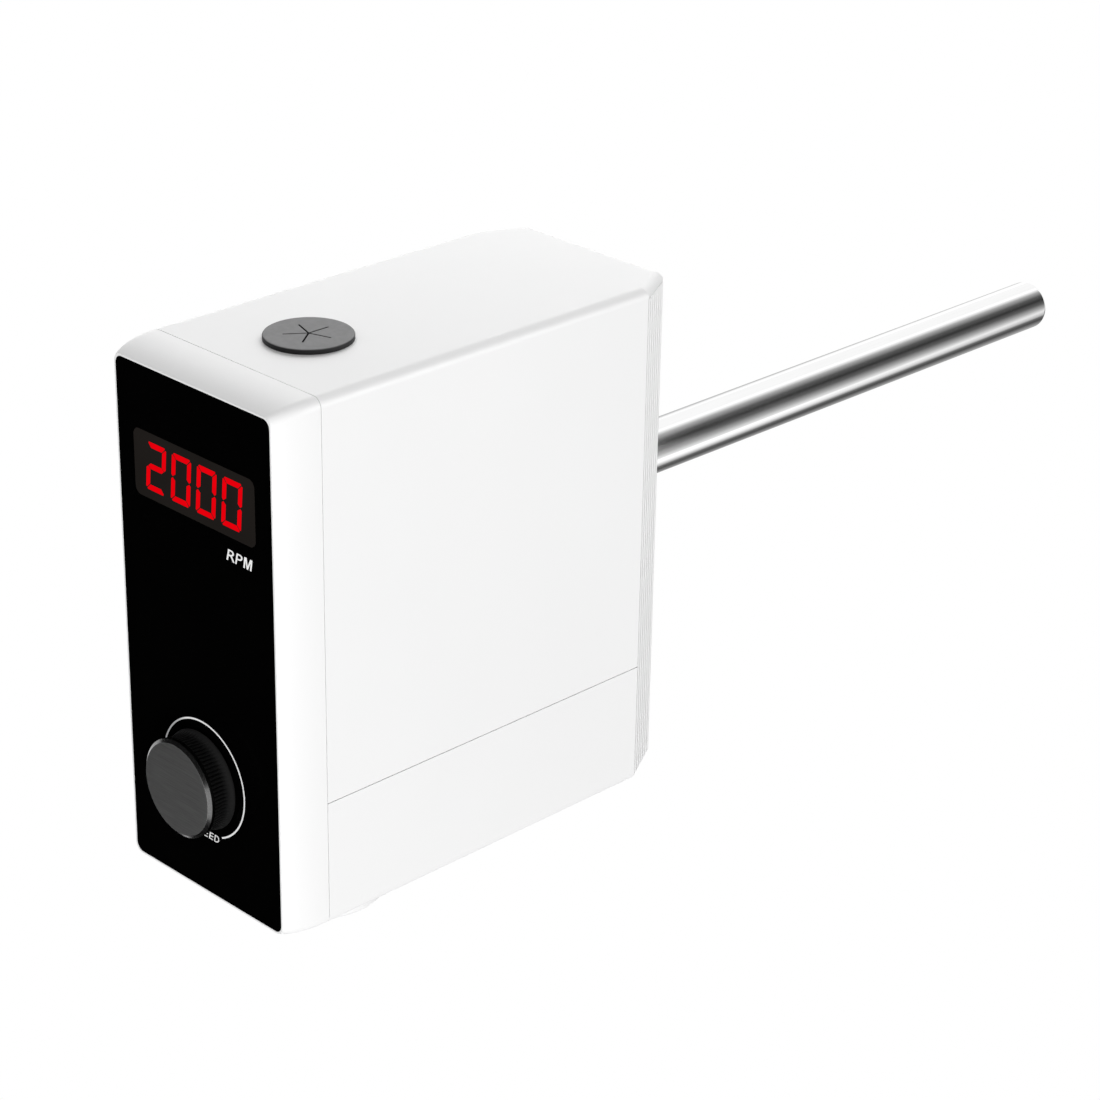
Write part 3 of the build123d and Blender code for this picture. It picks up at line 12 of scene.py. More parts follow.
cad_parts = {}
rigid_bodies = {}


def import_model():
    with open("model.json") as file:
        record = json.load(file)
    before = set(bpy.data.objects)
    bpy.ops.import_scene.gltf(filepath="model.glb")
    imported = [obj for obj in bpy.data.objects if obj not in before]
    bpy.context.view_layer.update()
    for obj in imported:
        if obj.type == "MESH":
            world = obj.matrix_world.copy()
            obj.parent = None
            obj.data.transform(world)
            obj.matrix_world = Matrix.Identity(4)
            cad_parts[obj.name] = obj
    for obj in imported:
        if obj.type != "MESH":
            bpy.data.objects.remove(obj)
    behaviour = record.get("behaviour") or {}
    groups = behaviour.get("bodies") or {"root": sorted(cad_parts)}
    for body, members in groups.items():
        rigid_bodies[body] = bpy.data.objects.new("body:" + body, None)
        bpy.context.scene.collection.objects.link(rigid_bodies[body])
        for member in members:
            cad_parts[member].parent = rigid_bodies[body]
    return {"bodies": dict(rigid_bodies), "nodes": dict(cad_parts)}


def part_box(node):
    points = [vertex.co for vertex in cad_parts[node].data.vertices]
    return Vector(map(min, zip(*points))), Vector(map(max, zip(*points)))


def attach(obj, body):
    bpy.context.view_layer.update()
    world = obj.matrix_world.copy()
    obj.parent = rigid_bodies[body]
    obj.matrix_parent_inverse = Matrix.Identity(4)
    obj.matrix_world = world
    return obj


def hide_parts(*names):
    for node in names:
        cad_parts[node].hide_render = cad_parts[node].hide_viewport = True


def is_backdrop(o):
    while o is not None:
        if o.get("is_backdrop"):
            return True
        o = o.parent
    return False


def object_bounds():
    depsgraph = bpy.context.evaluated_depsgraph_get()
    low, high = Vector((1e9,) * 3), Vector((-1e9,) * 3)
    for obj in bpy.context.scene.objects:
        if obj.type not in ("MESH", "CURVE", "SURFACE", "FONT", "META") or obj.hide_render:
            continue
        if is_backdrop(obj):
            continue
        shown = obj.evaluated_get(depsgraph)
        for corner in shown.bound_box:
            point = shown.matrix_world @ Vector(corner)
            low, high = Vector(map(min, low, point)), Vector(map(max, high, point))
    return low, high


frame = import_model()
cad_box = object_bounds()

bl_info = {
    "name": "Overhead stirrer",
    "version": (1, 0, 0),
    "blender": (4, 5, 0),
    "location": "View3D > Sidebar > Stirrer",
    "description": "Gives the overhead stirrer its finishes, display, printing and studio",
    "category": "Object",
}

MM = 0.001
PANEL_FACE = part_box("front_panel")[0].y
WINDOW_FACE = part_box("display_window")[0].y
KNOB_LOW, KNOB_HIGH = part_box("speed_knob")
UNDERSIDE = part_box("lower_housing")[0].z
SPINDLE_LOW, SPINDLE_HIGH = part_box("spindle")
MOTOR_LOW, MOTOR_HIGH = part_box("motor_case")
KNOB_AXIS = (0.0, 0.0, (KNOB_LOW.z + KNOB_HIGH.z) / 2)
SPINDLE_AXIS = (0.0, (SPINDLE_LOW.y + SPINDLE_HIGH.y) / 2, 0.0)
MOTOR_AXIS = (0.0, (MOTOR_LOW.y + MOTOR_HIGH.y) / 2, 0.0)


# a wave texture repeats every 2 pi / 20 of its scaled coordinate
WAVE_SCALE = 2.0 * math.pi / 20.0


# ---------------------------------------------------------------- sizes and colours
class StirrerSettings(PropertyGroup):
    """Sizes, colours and light levels of the dressed stirrer"""

    shell_colour: FloatVectorProperty(
        name="Shell",
        description="Colour of the white covers, the bezel and the chuck's hand ring",
        subtype="COLOR",
        size=3,
        min=0.0,
        max=1.0,
        default=(0.87, 0.87, 0.87),
    )
    panel_colour: FloatVectorProperty(
        name="Panel",
        description="Colour of the black front panel",
        subtype="COLOR",
        size=3,
        min=0.0,
        max=1.0,
        default=(0.0006, 0.0006, 0.0006),
    )
    window_colour: FloatVectorProperty(
        name="Window",
        description="Colour of the smoked display window",
        subtype="COLOR",
        size=3,
        min=0.0,
        max=1.0,
        default=(0.0152, 0.0130, 0.0116),
    )
    lit_colour: FloatVectorProperty(
        name="Lit segments",
        description="Colour of the display's lit segments",
        subtype="COLOR",
        size=3,
        min=0.0,
        max=1.0,
        default=(0.79, 0.0, 0.004),
    )
    print_colour: FloatVectorProperty(
        name="Printing",
        description="Colour of the words and the ring printed on the panel",
        subtype="COLOR",
        size=3,
        min=0.0,
        max=1.0,
        default=(0.93, 0.93, 0.93),
    )
    digit_height: FloatProperty(
        name="Digit height",
        description="Height of a display digit",
        unit="LENGTH",
        min=0.001,
        default=16.8 * MM,
    )
    digit_width: FloatProperty(
        name="Digit width",
        description="Width of a display digit across its outer edges",
        unit="LENGTH",
        min=0.001,
        default=9.63 * MM,
    )
    digit_pitch: FloatProperty(
        name="Digit pitch",
        description="Distance from one display digit to the next",
        unit="LENGTH",
        min=0.001,
        default=12.58 * MM,
    )
    digit_stroke: FloatProperty(
        name="Segment width",
        description="Width of one lit segment",
        unit="LENGTH",
        min=0.0002,
        default=1.92 * MM,
    )
    digit_slant: FloatProperty(
        name="Digit slant",
        description="How far a digit leans to the right for each unit of its height",
        min=0.0,
        max=0.5,
        default=0.09,
    )
    ring_radius: FloatProperty(
        name="Printed ring",
        description="Radius of the ring printed round the speed knob",
        unit="LENGTH",
        min=0.001,
        default=20.75 * MM,
    )
    ring_stroke: FloatProperty(
        name="Ring width",
        description="Width of the printed ring's line",
        unit="LENGTH",
        min=0.0001,
        default=0.62 * MM,
    )
    ring_half_gap: FloatProperty(
        name="Ring opening",
        description="Half the angle that the printed ring leaves open for the word below it",
        subtype="ANGLE",
        unit="ROTATION",
        min=0.0,
        max=math.pi,
        default=math.radians(24.2),
    )
    print_lift: FloatProperty(
        name="Ink thickness",
        description="How far printing and segments stand proud of what carries them",
        unit="LENGTH",
        min=0.00001,
        default=0.05 * MM,
    )
    ambient: FloatProperty(
        name="Ambient light",
        description="Strength of the even light from all round",
        min=0.0,
        default=0.46,
    )
    key_power: FloatProperty(
        name="Key lamp",
        description="Power of the low soft lamp at the front right",
        unit="POWER",
        min=0.0,
        default=38.0,
    )
    top_power: FloatProperty(
        name="Top lamp",
        description="Power of the soft lamp behind and above",
        unit="POWER",
        min=0.0,
        default=31.0,
    )
    camera_place: FloatVectorProperty(
        name="Camera",
        description="Where the camera stands",
        subtype="TRANSLATION",
        unit="LENGTH",
        size=3,
        default=(0.713951, -0.730032, 0.441591),
    )
    camera_azimuth: FloatProperty(
        name="Azimuth",
        description="Direction that the camera looks from, turned from the front to the right",
        subtype="ANGLE",
        unit="ROTATION",
        default=math.radians(45.153),
    )
    camera_elevation: FloatProperty(
        name="Elevation",
        description="Height of the camera's direction above the horizon",
        subtype="ANGLE",
        unit="ROTATION",
        default=math.radians(24.863),
    )
    camera_roll: FloatProperty(
        name="Roll",
        description="Turn of the camera about its own axis",
        subtype="ANGLE",
        unit="ROTATION",
        default=math.radians(0.968),
    )
    lens: FloatProperty(
        name="Lens",
        description="Focal length in millimetres",
        min=1.0,
        default=102.49,
    )
    floor_drop: FloatProperty(
        name="Floor",
        description="How far the floor lies below the housing's underside",
        unit="LENGTH",
        min=0.0,
        default=0.32,
    )


# ---------------------------------------------------------------- surfaces
def mesh_object(name, points, faces):
    """Makes an object at the origin from an array of points and a list or array of faces."""
    mesh = bpy.data.meshes.new(name)
    if isinstance(faces, np.ndarray):
        faces = faces.tolist()
    mesh.from_pydata(np.asarray(points, float).tolist(), [], faces)
    mesh.update()
    piece = bpy.data.objects.new(name, mesh)
    bpy.context.scene.collection.objects.link(piece)
    return piece


def grid_faces(rows, columns, first=0, wrap=False):
    """Quads of a grid of points, row by row. Each quad joins point (i, j) with its neighbours
    (i, j+1), (i+1, j+1) and (i+1, j); with wrap the last column joins the first."""
    last = columns if wrap else columns - 1
    i, j = np.meshgrid(np.arange(rows - 1), np.arange(last), indexing="ij")
    here, below, k = i * columns, (i + 1) * columns, (j + 1) % columns
    quads = np.stack([here + j, here + k, below + k, below + j], -1)
    return quads.reshape(-1, 4) + first


def flat_prism(outline, front, back, first=0):
    """A thin prism: the outline, given as (x, z) pairs turning anticlockwise as seen from the
    front, stands once at depth y = front and once at depth y = back, and a wall joins them."""
    outline = np.asarray(outline, float)
    count = len(outline)
    ring = np.arange(count)
    near = np.column_stack([outline[:, 0], np.full(count, front), outline[:, 1]])
    far = np.column_stack([outline[:, 0], np.full(count, back), outline[:, 1]])
    after = np.roll(ring, -1)
    walls = np.column_stack([ring, ring + count, after + count, after]) + first
    ends = [(ring + first).tolist(), (ring[::-1] + count + first).tolist()]
    return np.vstack([near, far]), ends + walls.tolist()


def join_prisms(outlines, front, back):
    """All the prisms of a list of outlines as one array of points and one list of faces."""
    points, faces, first = [], [], 0
    for outline in outlines:
        p, f = flat_prism(outline, front, back, first)
        points.append(p)
        faces += f
        first += len(p)
    return np.vstack(points), faces


# ---------------------------------------------------------------- finishes
def new_finish(name, colour, roughness, metallic=0.0, specular=0.5):
    """A material whose plain values sit on its shader's own sockets."""
    finish = bpy.data.materials.new(name)
    finish.use_nodes = True
    shader = finish.node_tree.nodes["Principled BSDF"]
    shader.inputs["Base Color"].default_value = (*colour, 1.0)
    shader.inputs["Roughness"].default_value = roughness
    shader.inputs["Metallic"].default_value = metallic
    shader.inputs["Specular IOR Level"].default_value = specular
    return finish, finish.node_tree, shader


def place(tree, scale=(1.0, 1.0, 1.0), centre=(0.0, 0.0, 0.0)):
    """Object coordinates moved so that centre becomes zero, then stretched by scale."""
    where = tree.nodes.new("ShaderNodeTexCoord")
    mapping = tree.nodes.new("ShaderNodeMapping")
    mapping.inputs["Scale"].default_value = scale
    mapping.inputs["Location"].default_value = [-c * s for c, s in zip(centre, scale)]
    tree.links.new(where.outputs["Object"], mapping.inputs["Vector"])
    return mapping.outputs["Vector"]


def noise(tree, vector, scale, detail=2.0, roughness=0.5):
    """Values of a noise field, from 0 to 1."""
    node = tree.nodes.new("ShaderNodeTexNoise")
    node.inputs["Scale"].default_value = scale
    node.inputs["Detail"].default_value = detail
    node.inputs["Roughness"].default_value = roughness
    tree.links.new(vector, node.inputs["Vector"])
    return node.outputs["Fac"]


def bands(tree, vector, scale, across="Z", distortion=0.0):
    """Values of evenly spaced bands, from 0 to 1."""
    node = tree.nodes.new("ShaderNodeTexWave")
    node.wave_type = "BANDS"
    node.bands_direction = across
    node.inputs["Scale"].default_value = scale
    node.inputs["Distortion"].default_value = distortion
    node.inputs["Detail"].default_value = 1.0
    tree.links.new(vector, node.inputs["Vector"])
    return node.outputs["Fac"]


def remap(tree, value, low, high, start=0.0, end=1.0):
    """The value, run from start to end, laid out from low to high."""
    node = tree.nodes.new("ShaderNodeMapRange")
    node.inputs["From Min"].default_value = start
    node.inputs["From Max"].default_value = end
    node.inputs["To Min"].default_value = low
    node.inputs["To Max"].default_value = high
    tree.links.new(value, node.inputs["Value"])
    return node.outputs["Result"]


def colour_ramp(tree, value, stops):
    """The colours that a value picks from the stops, each (place, colour)."""
    ramp = tree.nodes.new("ShaderNodeValToRGB")
    for end, (position, colour) in zip(ramp.color_ramp.elements, (stops[0], stops[-1])):
        end.position, end.color = position, (*colour, 1.0)
    for position, colour in stops[1:-1]:
        ramp.color_ramp.elements.new(position).color = (*colour, 1.0)
    tree.links.new(value, ramp.inputs["Fac"])
    return ramp.outputs["Color"]


def axis_value(tree, vector, axis):
    """One of the three values of a vector."""
    split = tree.nodes.new("ShaderNodeSeparateXYZ")
    tree.links.new(vector, split.inputs["Vector"])
    return split.outputs[axis]


def calculate(tree, operation, first, second):
    """The result of one operation on a value and a second value or number."""
    node = tree.nodes.new("ShaderNodeMath")
    node.operation = operation
    tree.links.new(first, node.inputs[0])
    if isinstance(second, float):
        node.inputs[1].default_value = second
    else:
        tree.links.new(second, node.inputs[1])
    return node.outputs["Value"]


def vary_gloss(tree, shader, value, low, high):
    """Runs the roughness from low to high over the middle of a noise field."""
    tree.links.new(remap(tree, value, low, high, 0.3, 0.7), shader.inputs["Roughness"])


def tint(tree, shader, value, stops):
    """Colours the surface by a value through the stops, each (place, colour)."""
    tree.links.new(colour_ramp(tree, value, stops), shader.inputs["Base Color"])


def emboss(tree, shader, value, height, under=None):
    """Raises the surface by the value times a height in metres, on top of another relief."""
    bump = tree.nodes.new("ShaderNodeBump")
    bump.inputs["Strength"].default_value = 1.0
    bump.inputs["Distance"].default_value = height
    tree.links.new(value, bump.inputs["Height"])
    if under is not None:
        tree.links.new(under, bump.inputs["Normal"])
    tree.links.new(bump.outputs["Normal"], shader.inputs["Normal"])
    return bump.outputs["Normal"]


def shade(colour, factor):
    """The colour made lighter or darker."""
    return tuple(min(1.0, c * factor) for c in colour)


def moulded_plastic(name, colour, roughness, grain=900.0, depth=2.0e-6):
    """Moulded plastic: a faint drift of colour, uneven gloss and a fine spark-eroded grain."""
    finish, tree, shader = new_finish(name, colour, roughness)
    where = place(tree)
    drift = noise(tree, where, 14.0, 2.0)
    tint(tree, shader, drift, [(0.3, shade(colour, 0.992)), (0.7, shade(colour, 1.006))])
    vary_gloss(tree, shader, noise(tree, where, 260.0, 3.0), roughness - 0.04, roughness + 0.04)
    emboss(tree, shader, noise(tree, where, grain, 2.0), depth)
    return finish


def black_acrylic(name, colour, roughness, specular):
    """Back-painted acrylic: deep, smooth, with a hint of waviness."""
    finish, tree, shader = new_finish(name, colour, roughness, specular=specular)
    where = place(tree)
    drift = noise(tree, where, 40.0, 2.0)
    tint(tree, shader, drift, [(0.3, shade(colour, 0.9)), (0.7, shade(colour, 1.1))])
    emboss(tree, shader, noise(tree, where, 60.0, 1.0), 1.0e-6)
    return finish


def turned_metal(
    name, colour, roughness, across="Z", centre=(0.0, 0.0, 0.0), feed=0.25 * MM, depth=1.2e-6,
):
    """Metal from a lathe: feed marks as fine bands along the axis, broken up by noise, and
    a gloss that changes a little along the part."""
    finish, tree, shader = new_finish(name, colour, roughness, metallic=1.0)
    where = place(tree, centre=centre)
    marks = bands(tree, where, WAVE_SCALE / feed, across, distortion=0.6)
    along = {"X": (1.0, 0.05, 0.05), "Y": (0.05, 1.0, 0.05), "Z": (0.05, 0.05, 1.0)}[across]
    streaks = noise(tree, place(tree, along, centre), 900.0, 3.0)
    vary_gloss(tree, shader, streaks, roughness * 0.75, roughness * 1.3)
    tint(tree, shader, streaks, [(0.25, shade(colour, 0.93)), (0.75, shade(colour, 1.04))])
    emboss(tree, shader, marks, depth)
    return finish


def polished_metal(name, colour, roughness):
    """Ground and polished steel: nearly a mirror, with faint long polishing streaks."""
    finish, tree, shader = new_finish(name, colour, roughness, metallic=1.0)
    streaks = noise(tree, place(tree, (1.0, 0.04, 1.0)), 700.0, 3.0)
    vary_gloss(tree, shader, streaks, roughness * 0.85, roughness * 1.2)
    tint(tree, shader, streaks, [(0.3, shade(colour, 0.985)), (0.7, shade(colour, 1.01))])
    return finish


def cast_metal(name, colour, roughness):
    """Die-cast aluminium: a pebbled skin with flow marks."""
    finish, tree, shader = new_finish(name, colour, roughness, metallic=1.0)
    where = place(tree)
    flow = noise(tree, where, 60.0, 4.0, 0.6)
    tint(tree, shader, flow, [(0.25, shade(colour, 0.84)), (0.75, shade(colour, 1.05))])
    vary_gloss(tree, shader, flow, roughness - 0.08, roughness + 0.08)
    under = emboss(tree, shader, noise(tree, where, 1100.0, 3.0), 1.6e-5)
    emboss(tree, shader, flow, 4.0e-5, under)
    return finish


def soft_rubber(name, colour, roughness):
    """Matt rubber: a dusty drift of colour over a fine open grain."""
    finish, tree, shader = new_finish(name, colour, roughness, specular=0.35)
    where = place(tree)
    dust = noise(tree, where, 120.0, 4.0)
    tint(tree, shader, dust, [(0.3, shade(colour, 0.85)), (0.75, shade(colour, 1.15))])
    emboss(tree, shader, noise(tree, where, 1600.0, 3.0), 6.0e-6)
    return finish


def plated_steel(name, colour, roughness):
    """Zinc-plated or blackened steel: patches of slightly different gloss and tone."""
    finish, tree, shader = new_finish(name, colour, roughness, metallic=1.0)
    where = place(tree)
    patches = noise(tree, where, 420.0, 4.0, 0.6)
    tint(tree, shader, patches, [(0.25, shade(colour, 0.8)), (0.75, shade(colour, 1.15))])
    vary_gloss(tree, shader, patches, roughness - 0.08, roughness + 0.1)
    emboss(tree, shader, noise(tree, where, 2500.0, 2.0), 2.0e-6)
    return finish


def stacked_steel(name, colour):
    """Laminations: thin steel sheets stacked along the motor's axis."""
    sheet = 0.5 * MM
    finish, tree, shader = new_finish(name, colour, 0.45, metallic=1.0)
    sheets = bands(tree, place(tree), WAVE_SCALE / sheet, "Z")
    tint(tree, shader, sheets, [(0.2, shade(colour, 0.55)), (0.6, shade(colour, 1.1))])
    emboss(tree, shader, sheets, 3.0e-5)
    return finish


def wound_copper(name, colour):
    """Enamelled wire: closely laid turns with small changes of tone, and painted shade, the bands
    darkened where neighbouring turns meet, in the creases between them.
    """
    wire = 0.6 * MM
    finish, tree, shader = new_finish(name, colour, 0.3, metallic=1.0)
    turns = bands(tree, place(tree, centre=MOTOR_AXIS), WAVE_SCALE / wire, "DIAGONAL", 1.5)
    # painted shade: the dark end of the ramp lies in the embossed valleys between the turns
    tint(tree, shader, turns, [(0.15, shade(colour, 0.4)), (0.6, shade(colour, 1.1))])
    emboss(tree, shader, turns, 8.0e-5)
    return finish


def board_lacquer(name, colour):
    """Solder resist over copper: a weave below and paler runs where tracks lie."""
    finish, tree, shader = new_finish(name, colour, 0.32)
    where = place(tree)
    cells = tree.nodes.new("ShaderNodeTexBrick")
    cells.inputs["Scale"].default_value = 260.0
    cells.inputs["Mortar Size"].default_value = 0.03
    for socket, tone in (("Color1", 0.0), ("Color2", 0.25), ("Mortar", 1.0)):
        cells.inputs[socket].default_value = (tone, tone, tone, 1.0)
    turned = tree.nodes.new("ShaderNodeMapping")
    turned.inputs["Rotation"].default_value = (math.radians(90.0), 0.0, 0.0)
    tree.links.new(where, turned.inputs["Vector"])
    tree.links.new(turned.outputs["Vector"], cells.inputs["Vector"])
    tracks = [(0.1, shade(colour, 0.85)), (0.9, shade(colour, 2.0))]
    tint(tree, shader, cells.outputs["Color"], tracks)
    emboss(tree, shader, noise(tree, where, 900.0, 2.0), 6.0e-6)
    return finish


def sheen_painted_cap(name):
    """The cap's dark rubber with a painted sheen: its flat top is painted pale, a painted
    reflection standing for the light it catches at a grazing angle; its rim and slits stay dark.
    """
    dark, pale = (0.012, 0.012, 0.013), (0.215, 0.215, 0.217)
    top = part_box("top_cap")[1].z
    finish, tree, shader = new_finish(name, dark, 0.55, specular=0.3)
    where = place(tree)
    # painted sheen: only the top face's last 0.28 mm is painted pale, as a painted reflection of
    # the light; the grain noise mottles it
    painted_sheen = remap(tree, axis_value(tree, where, "Z"), 0.0, 1.0, top - 0.28 * MM, top - 0.02 * MM)
    grain = remap(tree, noise(tree, where, 500.0, 4.0), 0.9, 1.0, 0.35, 0.65)
    tint(tree, shader, calculate(tree, "MULTIPLY", painted_sheen, grain), [(0.0, dark), (1.0, pale)])
    emboss(tree, shader, noise(tree, where, 2200.0, 3.0), 5.0e-6)
    return finish


def lit_segment(name, colour):
    """A lit segment: even light of the segment's colour, with a faint drift of strength."""
    finish, tree, shader = new_finish(name, shade(colour, 0.02), 0.5, specular=0.0)
    shader.inputs["Emission Color"].default_value = (*colour, 1.0)
    glow = noise(tree, place(tree), 300.0, 2.0)
    tree.links.new(remap(tree, glow, 0.94, 1.03, 0.3, 0.7), shader.inputs["Emission Strength"])
    return finish


def printed_ink(name, colour):
    """Screen-printed ink: opaque, matt, very slightly mottled."""
    finish, tree, shader = new_finish(name, colour, 0.6, specular=0.2)
    where = place(tree)
    mottle = noise(tree, where, 1500.0, 3.0)
    tint(tree, shader, mottle, [(0.3, shade(colour, 0.96)), (0.7, shade(colour, 1.04))])
    emboss(tree, shader, noise(tree, where, 3000.0, 2.0), 1.5e-6)
    return finish


def dress(finish, *names):
    """Puts the finish on every material slot of the CAD nodes named."""
    for name in names:
        node = frame["nodes"][name]
        if not node.material_slots:
            raise RuntimeError(f"{name} has no material slot")
        for slot in node.material_slots:
            slot.material = finish


def keep_piece(piece, finish, body):
    """Gives a new piece its finish and its slot, and lets it ride with a body."""
    piece.data.materials.clear()
    piece.data.materials.append(finish)
    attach(piece, body)


# ---------------------------------------------------------------- operators
class STIRRER_OT_shell(Operator):
    """Finish the white covers, the bezel and the chuck's hand ring"""

    bl_idname = "stirrer.shell"
    bl_label = "Shell"

    def execute(self, context):
        settings = context.scene.stirrer
        shell = moulded_plastic("shell_white", settings.shell_colour, 0.42)
        dress(shell, "front_bezel", "upper_housing", "lower_housing", "rear_cover", "chuck_ring")
        return {"FINISHED"}


class STIRRER_OT_panel(Operator):
    """Finish the front panel and the smoked display window"""

    bl_idname = "stirrer.panel"
    bl_label = "Front panel"

    def execute(self, context):
        settings = context.scene.stirrer
        dress(black_acrylic("panel_black", settings.panel_colour, 0.14, 0.04), "front_panel")
        dress(black_acrylic("window_smoked", settings.window_colour, 0.10, 0.05), "display_window")
        return {"FINISHED"}


def segment_outlines(width, height, stroke):
    """The seven segments of a digit as (x, z) outlines from its lower left corner. Neighbours
    meet in mitres at the corners, with a thin gap, and the middle segment is a long hexagon
    that the upright segments' chisel ends leave room for."""
    chamfer, gap, half = 0.42 * stroke, 0.17 * MM, stroke / 2
    middle = height / 2
    top = np.array([
        (chamfer + gap, height), (chamfer / 2 + 1.6 * gap, height - chamfer / 2),
        (stroke + gap, height - stroke), (width - stroke - gap, height - stroke),
        (width - chamfer / 2 - 1.6 * gap, height - chamfer / 2), (width - chamfer - gap, height),
    ])
    upper_left = np.array([
        (0.0, height - chamfer - gap), (0.0, middle + 0.32 * stroke + gap),
        (0.36 * stroke, middle + 1.2 * gap), (stroke, middle + half + gap),
        (stroke, height - stroke - 1.4 * gap),
        (chamfer / 2, height - chamfer / 2 - 1.6 * gap),
    ])
    centre = np.array([
        (0.36 * stroke + 1.4 * gap, middle), (stroke + 0.8 * gap, middle - half),
        (width - stroke - 0.8 * gap, middle - half), (width - 0.36 * stroke - 1.4 * gap, middle),
        (width - stroke - 0.8 * gap, middle + half), (stroke + 0.8 * gap, middle + half),
    ])

    def across(outline):
        return np.column_stack([width - outline[:, 0], outline[:, 1]])[::-1]

    def below(outline):
        return np.column_stack([outline[:, 0], height - outline[:, 1]])[::-1]

    return {
        "top": top, "bottom": below(top), "middle": centre,
        "upper_left": upper_left, "upper_right": across(upper_left),
        "lower_left": below(upper_left), "lower_right": across(below(upper_left)),
    }


LIT = {
    "0": ("top", "upper_left", "upper_right", "lower_left", "lower_right", "bottom"),
    "2": ("top", "upper_right", "middle", "lower_left", "bottom"),
}


class STIRRER_OT_digits(Operator):
    """Light the display with the reading 2000"""

    bl_idname = "stirrer.digits"
    bl_label = "Display digits"

    def execute(self, context):
        s = context.scene.stirrer
        segments = segment_outlines(s.digit_width, s.digit_height, s.digit_stroke)
        left, foot = -24.45 * MM, 37.9 * MM
        outlines = []
        for place_in_row, digit in enumerate("2000"):
            for name in LIT[digit]:
                outline = segments[name].copy()
                outline[:, 0] += left + place_in_row * s.digit_pitch + s.digit_slant * outline[:, 1]
                outline[:, 1] += foot
                outlines.append(outline)
        front = WINDOW_FACE - s.print_lift
        points, faces = join_prisms(outlines, front, WINDOW_FACE + s.print_lift)
        digits = mesh_object("display_digits", points, faces)
        keep_piece(digits, lit_segment("segments_lit", s.lit_colour), "housing")
        return {"FINISHED"}


def letter_m(slant):
    """The outline of a square-cut capital M in a unit box, with its notch down to the foot."""
    stem = 0.18
    outline = np.array([
        (0.0, 0.0), (stem, 0.0), (stem, 0.72), (0.42, 0.0), (0.58, 0.0), (1 - stem, 0.72),
        (1 - stem, 0.0), (1.0, 0.0), (1.0, 1.0), (0.73, 1.0), (0.5, 0.28), (0.27, 1.0), (0.0, 1.0),
    ])
    outline[:, 0] += slant * outline[:, 1]
    return outline


def letter_faces(letter, weight, slant):
    """The points and faces of one thin letter, lying flat, from the built-in lettering."""
    curve = bpy.data.curves.new(letter, "FONT")
    curve.body = letter
    curve.shear = slant
    curve.offset = weight
    curve.resolution_u = 6
    curve.fill_mode = "BOTH"
    curve.extrude = 0.02
    lettering = bpy.data.objects.new(letter, curve)
    context = bpy.context
    context.scene.collection.objects.link(lettering)
    context.view_layer.update()
    evaluated = lettering.evaluated_get(context.evaluated_depsgraph_get())
    mesh = bpy.data.meshes.new_from_object(evaluated)
    bpy.data.objects.remove(lettering)
    bpy.data.curves.remove(curve)
    points = np.zeros(len(mesh.vertices) * 3)
    mesh.vertices.foreach_get("co", points)
    faces = [list(face.vertices) for face in mesh.polygons]
    bpy.data.meshes.remove(mesh)
    return points.reshape(-1, 3), faces


def printed_word(name, letters, foot, height, weight, slant, lift):
    """A word as one thin mesh on the panel. Each letter, given as (letter, left edge, width),
    is scaled to fill its own box, whose foot stands at the height foot on the panel's face."""
    points, faces, first = [], [], 0
    for letter, left, width in letters:
        if letter == "M":
            flat, polygons = flat_prism(letter_m(slant * height / width), -1.0, 1.0)
            flat = np.column_stack([flat[:, 0], flat[:, 2], -flat[:, 1]])
        else:
            flat, polygons = letter_faces(letter, weight, slant)
        along, up = flat[:, 0] - flat[:, 0].min(), flat[:, 1] - flat[:, 1].min()
        points.append(np.column_stack([
            along * width / along.max() + left,
            np.where(flat[:, 2] > 0, PANEL_FACE - lift, PANEL_FACE + lift),
            up * height / up.max() + foot,
        ]))
        faces += [[corner + first for corner in polygon] for polygon in polygons]
        first += len(flat)
    return mesh_object(name, np.vstack(points), faces)


class STIRRER_OT_printing(Operator):
    """Print the ring and the plain words on the front panel"""

    bl_idname = "stirrer.printing"
    bl_label = "Panel printing"

    def execute(self, context):
        s = context.scene.stirrer
        ink = printed_ink("ink_white", s.print_colour)
        lift, slant = s.print_lift, 0.19
        letters = [("R", 15.4, 4.0), ("P", 19.65, 3.7), ("M", 23.65, 4.55)]
        rpm = [(letter, left * MM, width * MM) for letter, left, width in letters]
        rpm = printed_word("print_rpm", rpm, 26.45 * MM, 3.9 * MM, 0.0, slant, lift)
        left, pitch, width = -6.65, 2.75, 2.6 * MM
        speed = [(letter, (left + pitch * i) * MM, width) for i, letter in enumerate("SPEED")]
        speed = printed_word("print_speed", speed, -79.55 * MM, 2.65 * MM, 0.004, slant, lift)
        ring = self.ring("print_ring", s)
        for piece in (rpm, speed, ring):
            keep_piece(piece, ink, "housing")
        return {"FINISHED"}

    def ring(self, name, s):
        """The ring round the knob's axis, open below: a flat band whose section, a rectangle
        of the ring's width and twice the ink's thickness, runs from one end to the other."""
        start, end = s.ring_half_gap - math.pi / 2, 1.5 * math.pi - s.ring_half_gap
        angle = np.linspace(start, end, 145)[:, None]
        half, lift = s.ring_stroke / 2, s.print_lift
        radius = s.ring_radius + np.array([-half, half, half, -half])
        depth = np.broadcast_to(PANEL_FACE + np.array([-lift, -lift, lift, lift]), (len(angle), 4))
        height = radius * np.sin(angle) + KNOB_AXIS[2]
        points = np.stack([radius * np.cos(angle), depth, height], -1)
        faces = grid_faces(len(angle), 4, wrap=True).tolist()
        last = (len(angle) - 1) * 4
        faces += [[3, 2, 1, 0], [last, last + 1, last + 2, last + 3]]
        return mesh_object(name, points.reshape(-1, 3), faces)


